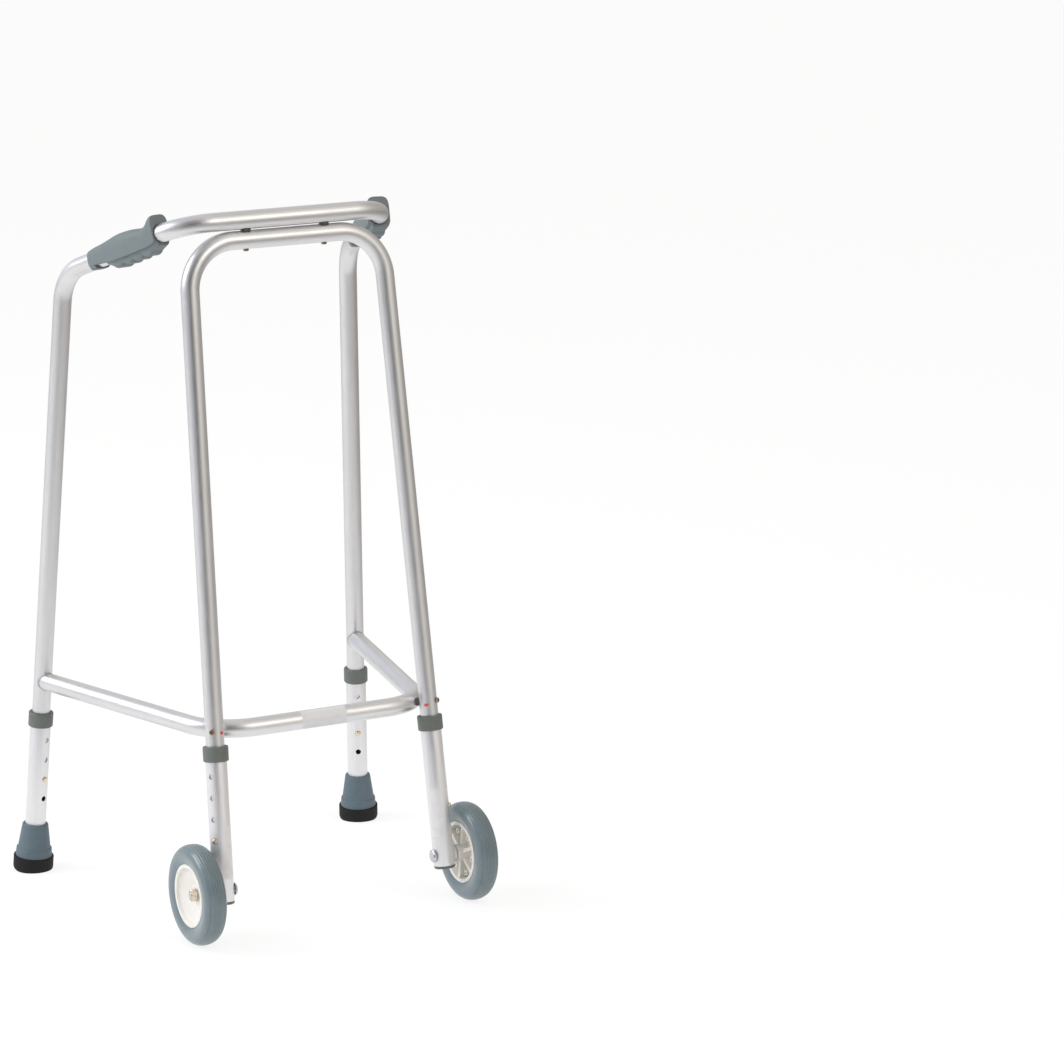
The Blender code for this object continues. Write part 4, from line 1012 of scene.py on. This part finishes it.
# along is measured up a leg, or back from the brace's left end; faces is the way that the middle looks
stickerShape = {
    "film": 0.00012,
    "column": 0.0008,
    "row": 0.003,
    "legLabel_right": {"along": 0.1062, "width": 0.0177, "length": 0.0615, "faces": (0.388, -0.9145, 0.115)},
    "legLabel_left": {"along": 0.1140, "width": 0.0204, "length": 0.0585, "faces": (-0.786, -0.615, 0.063)},
    "braceLabel": {"width": 0.0280, "length": 0.0590, "faces": (0, -0.990, 0.140)},
    "checkMark_right": {"along": 0.2480, "width": 0.0058, "length": 0.0040, "faces": (0.442, -0.890, 0.110)},
    "checkMark_left": {"along": 0.2459, "width": 0.0058, "length": 0.0040, "faces": (-0.638, -0.766, 0.088)},
    "checkMark_brace": {"along": 0.3311, "width": 0.0040, "length": 0.0058, "faces": (-0.664, 0.153, 0.731)},
}


def addSticker(name, finish, body, radius, axesAlong):
    # a thin sheet bent round a tube; axesAlong gives the tube's axes at a distance from the sticker's middle
    spec, film = stickerShape[name], stickerShape["film"]
    width, length = spec["width"], spec["length"]
    bm = bmesh.new()
    columns = max(6, round(width / stickerShape["column"]))
    rows = max(6, round(length / stickerShape["row"]))
    bmesh.ops.create_grid(bm, x_segments=columns, y_segments=rows, size=1)
    middle = axesAlong(0).to_3x3()
    faces = Vector(spec["faces"])
    aim = math.atan2(middle.col[1].dot(faces), middle.col[0].dot(faces))
    for vert in bm.verts:
        x, y = vert.co.x, vert.co.y
        if finish == "redMark":  # an oval
            x, y = x * math.sqrt(1 - y * y / 2), y * math.sqrt(1 - x * x / 2)
        angle = aim + x * width / 2 / radius
        lift = radius + film
        vert.co = axesAlong(y * length / 2) @ Vector((lift * math.cos(angle), lift * math.sin(angle), 0))
    bmesh.ops.recalc_face_normals(bm, faces=bm.faces)
    bmesh.ops.solidify(bm, geom=bm.faces[:], thickness=film * 0.8)
    bmesh.ops.recalc_face_normals(bm, faces=bm.faces)
    addPiece(name, asMesh(bm), finish, body, sharp=60)


def upLeg(name, side):
    middle = legAxes(side, "front") @ Matrix.Translation((0, 0, stickerShape[name]["along"]))
    return lambda distance: middle @ Matrix.Translation((0, 0, distance))


for side in sides:
    label, mark = f"legLabel_{side}", f"checkMark_{side}"
    addSticker(label, "label", f"front_leg_{side}", legShape["outside"], upLeg(label, side))
    addSticker(mark, "redMark", "frame", frameShape["tube"], upLeg(mark, side))

braceLength = sum(step["length"] for step in paths["brace"])
markPlace = braceLength - stickerShape["checkMark_brace"]["along"]
addSticker("braceLabel", "label", "frame", frameShape["tube"],
           lambda distance: onPath(paths["brace"], braceLength / 2 + distance))
addSticker("checkMark_brace", "redMark", "frame", frameShape["tube"],
           lambda distance: onPath(paths["brace"], markPlace + distance))
print("labels stuck on")


# Small pieces that keep their CAD shape

plainFinish = {
    "collar": ["leg_end_plug"],
    # the saddles' near-black finish also paints the shade in the gaps between the tubes
    "saddle": ["top_saddle", "brace_saddle"],
    "bronze": ["top_screw", "brace_bolt"],
    "zinc": ["top_nut", "brace_nut", "brace_end_screw", "foot_washer", "axle_bolt", "axle_sleeve"],
    "gold": ["axle_nut", "axle_washer"],
    "hub": ["axle_spacer"],
    "brass": ["snap_button_front", "snap_button_rear"],
}
for finish, bases in plainFinish.items():
    for name in [f"{base}_{side}" for base in bases for side in sides]:
        for slot in nodes[name].material_slots:
            slot.material = finishes[finish]
print("small pieces finished")


# Floor, light and camera

studio = {
    "floor": 12,  # from its middle to its edges
    "towardsCamera": (-0.4306, -0.9025, 0.0),
    "towardsRight": (0.8742, -0.4856, 0.0),
    "paper": (0.88, 0.885, 0.90),
    "secondPaper": (0.91, 0.91, 0.91),
    # painted shade: for light and mirror rays the paper turns darker towards the camera and to the right,
    # for the metal and rubber to mirror
    "farPaperShade": (0.33, 0.325, 0.32),  # what the metal sees of the floor towards the camera
    "rightPaperShade": (0.47, 0.455, 0.43),
    "fadeTowardsCamera": (1.0, 3.0),
    "fadeToRight": (0.2, 1.8),
    "glow": 1.10,
    "shadowShare": 0.26,
    "mirroredNear": (0.4, 1.5, 0.8),  # near and far distance, and how white metal sees the near floor
    "level": 0.75,
    "cool": (0.945, 0.98, 1.06),
    "warm": (1.07, 1.0, 0.91),
    "tintReach": 0.6,
    # each patch of light: where it lies, how far it spreads in degrees from full to none, and what it adds
    "patches": {
        "left wall": ((-0.95, 0.10, 0.30), 20, 100, -0.21),
        "right wall": ((0.95, -0.10, 0.0), 35, 80, -0.35),
        "behind the camera": ((-0.27, -0.96, 0.05), 10, 48, -0.38),
        "above the camera": ((-0.35, -0.70, 0.62), 15, 42, -0.37),
        "front softbox": ((0.374, -0.80, 0.47), 17, 43, 0.38),
        "rear softbox": ((-0.57, 0.68, 0.47), 13, 36, 0.10),
    },
    # each lamp: where it stands, its width and its power
    "lamps": {
        "key": ((-3.1, 1.7, 2.5), 2.1, 58),
        "front": ((0.8, -2.65, 2.15), 0.8, 9),
        "fill": ((-3.2, -0.9, 1.3), 1.6, 24),
    },
    "aim": (0, 0, 0.3),
}


def paperSheet():
    # white for the camera with a soft shadow on it, and for the light a paper sheet with painted shade
    # towards the camera and to the right
    material = bpy.data.materials.new("white paper")
    material.use_nodes = True
    tree = material.node_tree
    tree.nodes.clear()
    place = addNode(tree, "ShaderNodeTexCoord").outputs["Object"]
    grain = noiseNode(tree, place, 3.0, 3.0)
    tone = mixColours(tree, grain.outputs["Fac"], studio["paper"], studio["secondPaper"])
    # painted shade: away from the object the paper darkens to the right and towards the camera
    aside = vectorNode(tree, "DOT_PRODUCT", place, studio["towardsRight"])
    tone = mixColours(tree, rangeNode(tree, aside, *studio["fadeToRight"]), tone, studio["rightPaperShade"])
    reach = vectorNode(tree, "DOT_PRODUCT", place, studio["towardsCamera"])
    tone = mixColours(tree, rangeNode(tree, reach, *studio["fadeTowardsCamera"]), tone, studio["farPaperShade"])
    lit = addNode(tree, "ShaderNodeBsdfDiffuse", {"Color": tone})
    shaded = addNode(tree, "ShaderNodeBsdfDiffuse", {"Color": (1, 1, 1, 1)})
    glow = addNode(tree, "ShaderNodeEmission", {"Color": (1, 1, 1, 1), "Strength": studio["glow"]})
    sockets = {0: studio["shadowShare"], 1: glow.outputs[0], 2: shaded.outputs[0]}
    white = addNode(tree, "ShaderNodeMixShader", sockets)
    # metal near the floor shows it white, as the camera does
    rays = addNode(tree, "ShaderNodeLightPath")
    mirrored = mathNode(tree, "MAXIMUM", rays.outputs["Is Glossy Ray"], rays.outputs["Is Transmission Ray"])
    near, far, share = studio["mirroredNear"]
    whiteness = rangeNode(tree, vectorNode(tree, "LENGTH", place), near, far, share, 0.0)
    whitened = mathNode(tree, "MULTIPLY", mirrored, whiteness)
    shown = mathNode(tree, "MAXIMUM", rays.outputs["Is Camera Ray"], whitened)
    both = addNode(tree, "ShaderNodeMixShader", {0: shown, 1: lit.outputs[0], 2: white.outputs[0]})
    addNode(tree, "ShaderNodeOutputMaterial", {"Surface": both.outputs[0]})
    return material


sheet = bmesh.new()
bmesh.ops.create_grid(sheet, x_segments=1, y_segments=1, size=studio["floor"])
floor = addObject("floor", asMesh(sheet))
floor.data.name = "floor"
floor.data.materials.append(paperSheet())


def buildLightPatch():
    # how strongly a direction looks into one patch of the studio's light
    inputs = {"Direction": "Vector", "Aim": "Vector", "Inner": "Float", "Outer": "Float"}
    group, enter, leave = newGroup("lightPatch", inputs, ["Mask"])
    unit = vectorNode(group, "NORMALIZE", enter.outputs["Aim"])
    facing = vectorNode(group, "DOT_PRODUCT", enter.outputs["Direction"], unit)
    sockets = {"Value": facing, "From Min": enter.outputs["Outer"], "From Max": enter.outputs["Inner"]}
    soft = addNode(group, "ShaderNodeMapRange", sockets, interpolation_type="SMOOTHSTEP")
    feed(group, leave, {"Mask": soft.outputs["Result"]})
    return group


def studioWorld():
    # the light that the walls and softboxes give, and plain white for the camera
    patch = buildLightPatch()
    world = bpy.data.worlds.new("studio")
    world.use_nodes = True
    tree = world.node_tree
    direction = addNode(tree, "ShaderNodeTexCoord").outputs["Generated"]
    strength = studio["level"]
    for aim, inner, outer, gain in studio["patches"].values():
        mask = useGroup(tree, patch, Direction=direction, Aim=aim, Inner=math.cos(math.radians(inner)),
                        Outer=math.cos(math.radians(outer))).outputs["Mask"]
        sockets = {0: mask, 1: gain, 2: strength}
        strength = addNode(tree, "ShaderNodeMath", sockets, operation="MULTIPLY_ADD").outputs[0]
    aside = vectorNode(tree, "DOT_PRODUCT", direction, studio["towardsRight"])
    reach = studio["tintReach"]
    tint = mixColours(tree, rangeNode(tree, aside, -reach, reach), studio["cool"], studio["warm"])
    lit = tree.nodes["Background"]
    feed(tree, lit, {"Color": mixColours(tree, 1.0, tint, strength, "MULTIPLY")})
    white = addNode(tree, "ShaderNodeBackground", {"Color": (1, 1, 1, 1), "Strength": 1.0})
    rays = addNode(tree, "ShaderNodeLightPath")
    sockets = {0: rays.outputs["Is Camera Ray"], 1: lit.outputs[0], 2: white.outputs[0]}
    both = addNode(tree, "ShaderNodeMixShader", sockets)
    feed(tree, tree.nodes["World Output"], {"Surface": both.outputs[0]})
    return world


bpy.context.scene.world = studioWorld()

for name, (place, width, power) in studio["lamps"].items():
    lamp = bpy.data.lights.new(name, "AREA")
    lamp.shape = "RECTANGLE"
    lamp.size = lamp.size_y = width
    lamp.energy = power
    stand = addObject(name, lamp)
    stand.location = place
    stand.rotation_euler = (Vector(studio["aim"]) - Vector(place)).to_track_quat("-Z", "Y").to_euler()
    stand.visible_glossy = name != "fill"  # the fill lights rubber and nylon, and metal doesn't mirror it

# the camera stands where the photograph was taken from; its angles are in degrees
view = {
    "place": (-2.256215, -4.728521, 1.576905),
    "yaw": 29.05,
    "pitch": -12.26,
    "roll": -0.413,
    "lens": 149.683,
    "sensor": 36,
    "reach": 60,
}
yaw, pitch, roll = (math.radians(view[key]) for key in ("yaw", "pitch", "roll"))
ahead = Vector((math.sin(yaw) * math.cos(pitch), math.cos(yaw) * math.cos(pitch), math.sin(pitch)))
level = Vector((math.cos(yaw), -math.sin(yaw), 0))
upright = level.cross(ahead)
pictureRight = math.cos(roll) * level + math.sin(roll) * upright
pictureUp = -math.sin(roll) * level + math.cos(roll) * upright
camera = bpy.data.cameras.new("camera")
camera.lens = view["lens"]
camera.sensor_width = view["sensor"]
camera.clip_end = view["reach"]
cameraObject = addObject("camera", camera)
cameraPlace = Matrix((pictureRight, pictureUp, -ahead)).transposed().to_4x4()
cameraPlace.translation = Vector(view["place"])
cameraObject.matrix_world = cameraPlace
bpy.context.scene.camera = cameraObject
bpy.context.scene.view_settings.view_transform = "Standard"
print("studio ready")
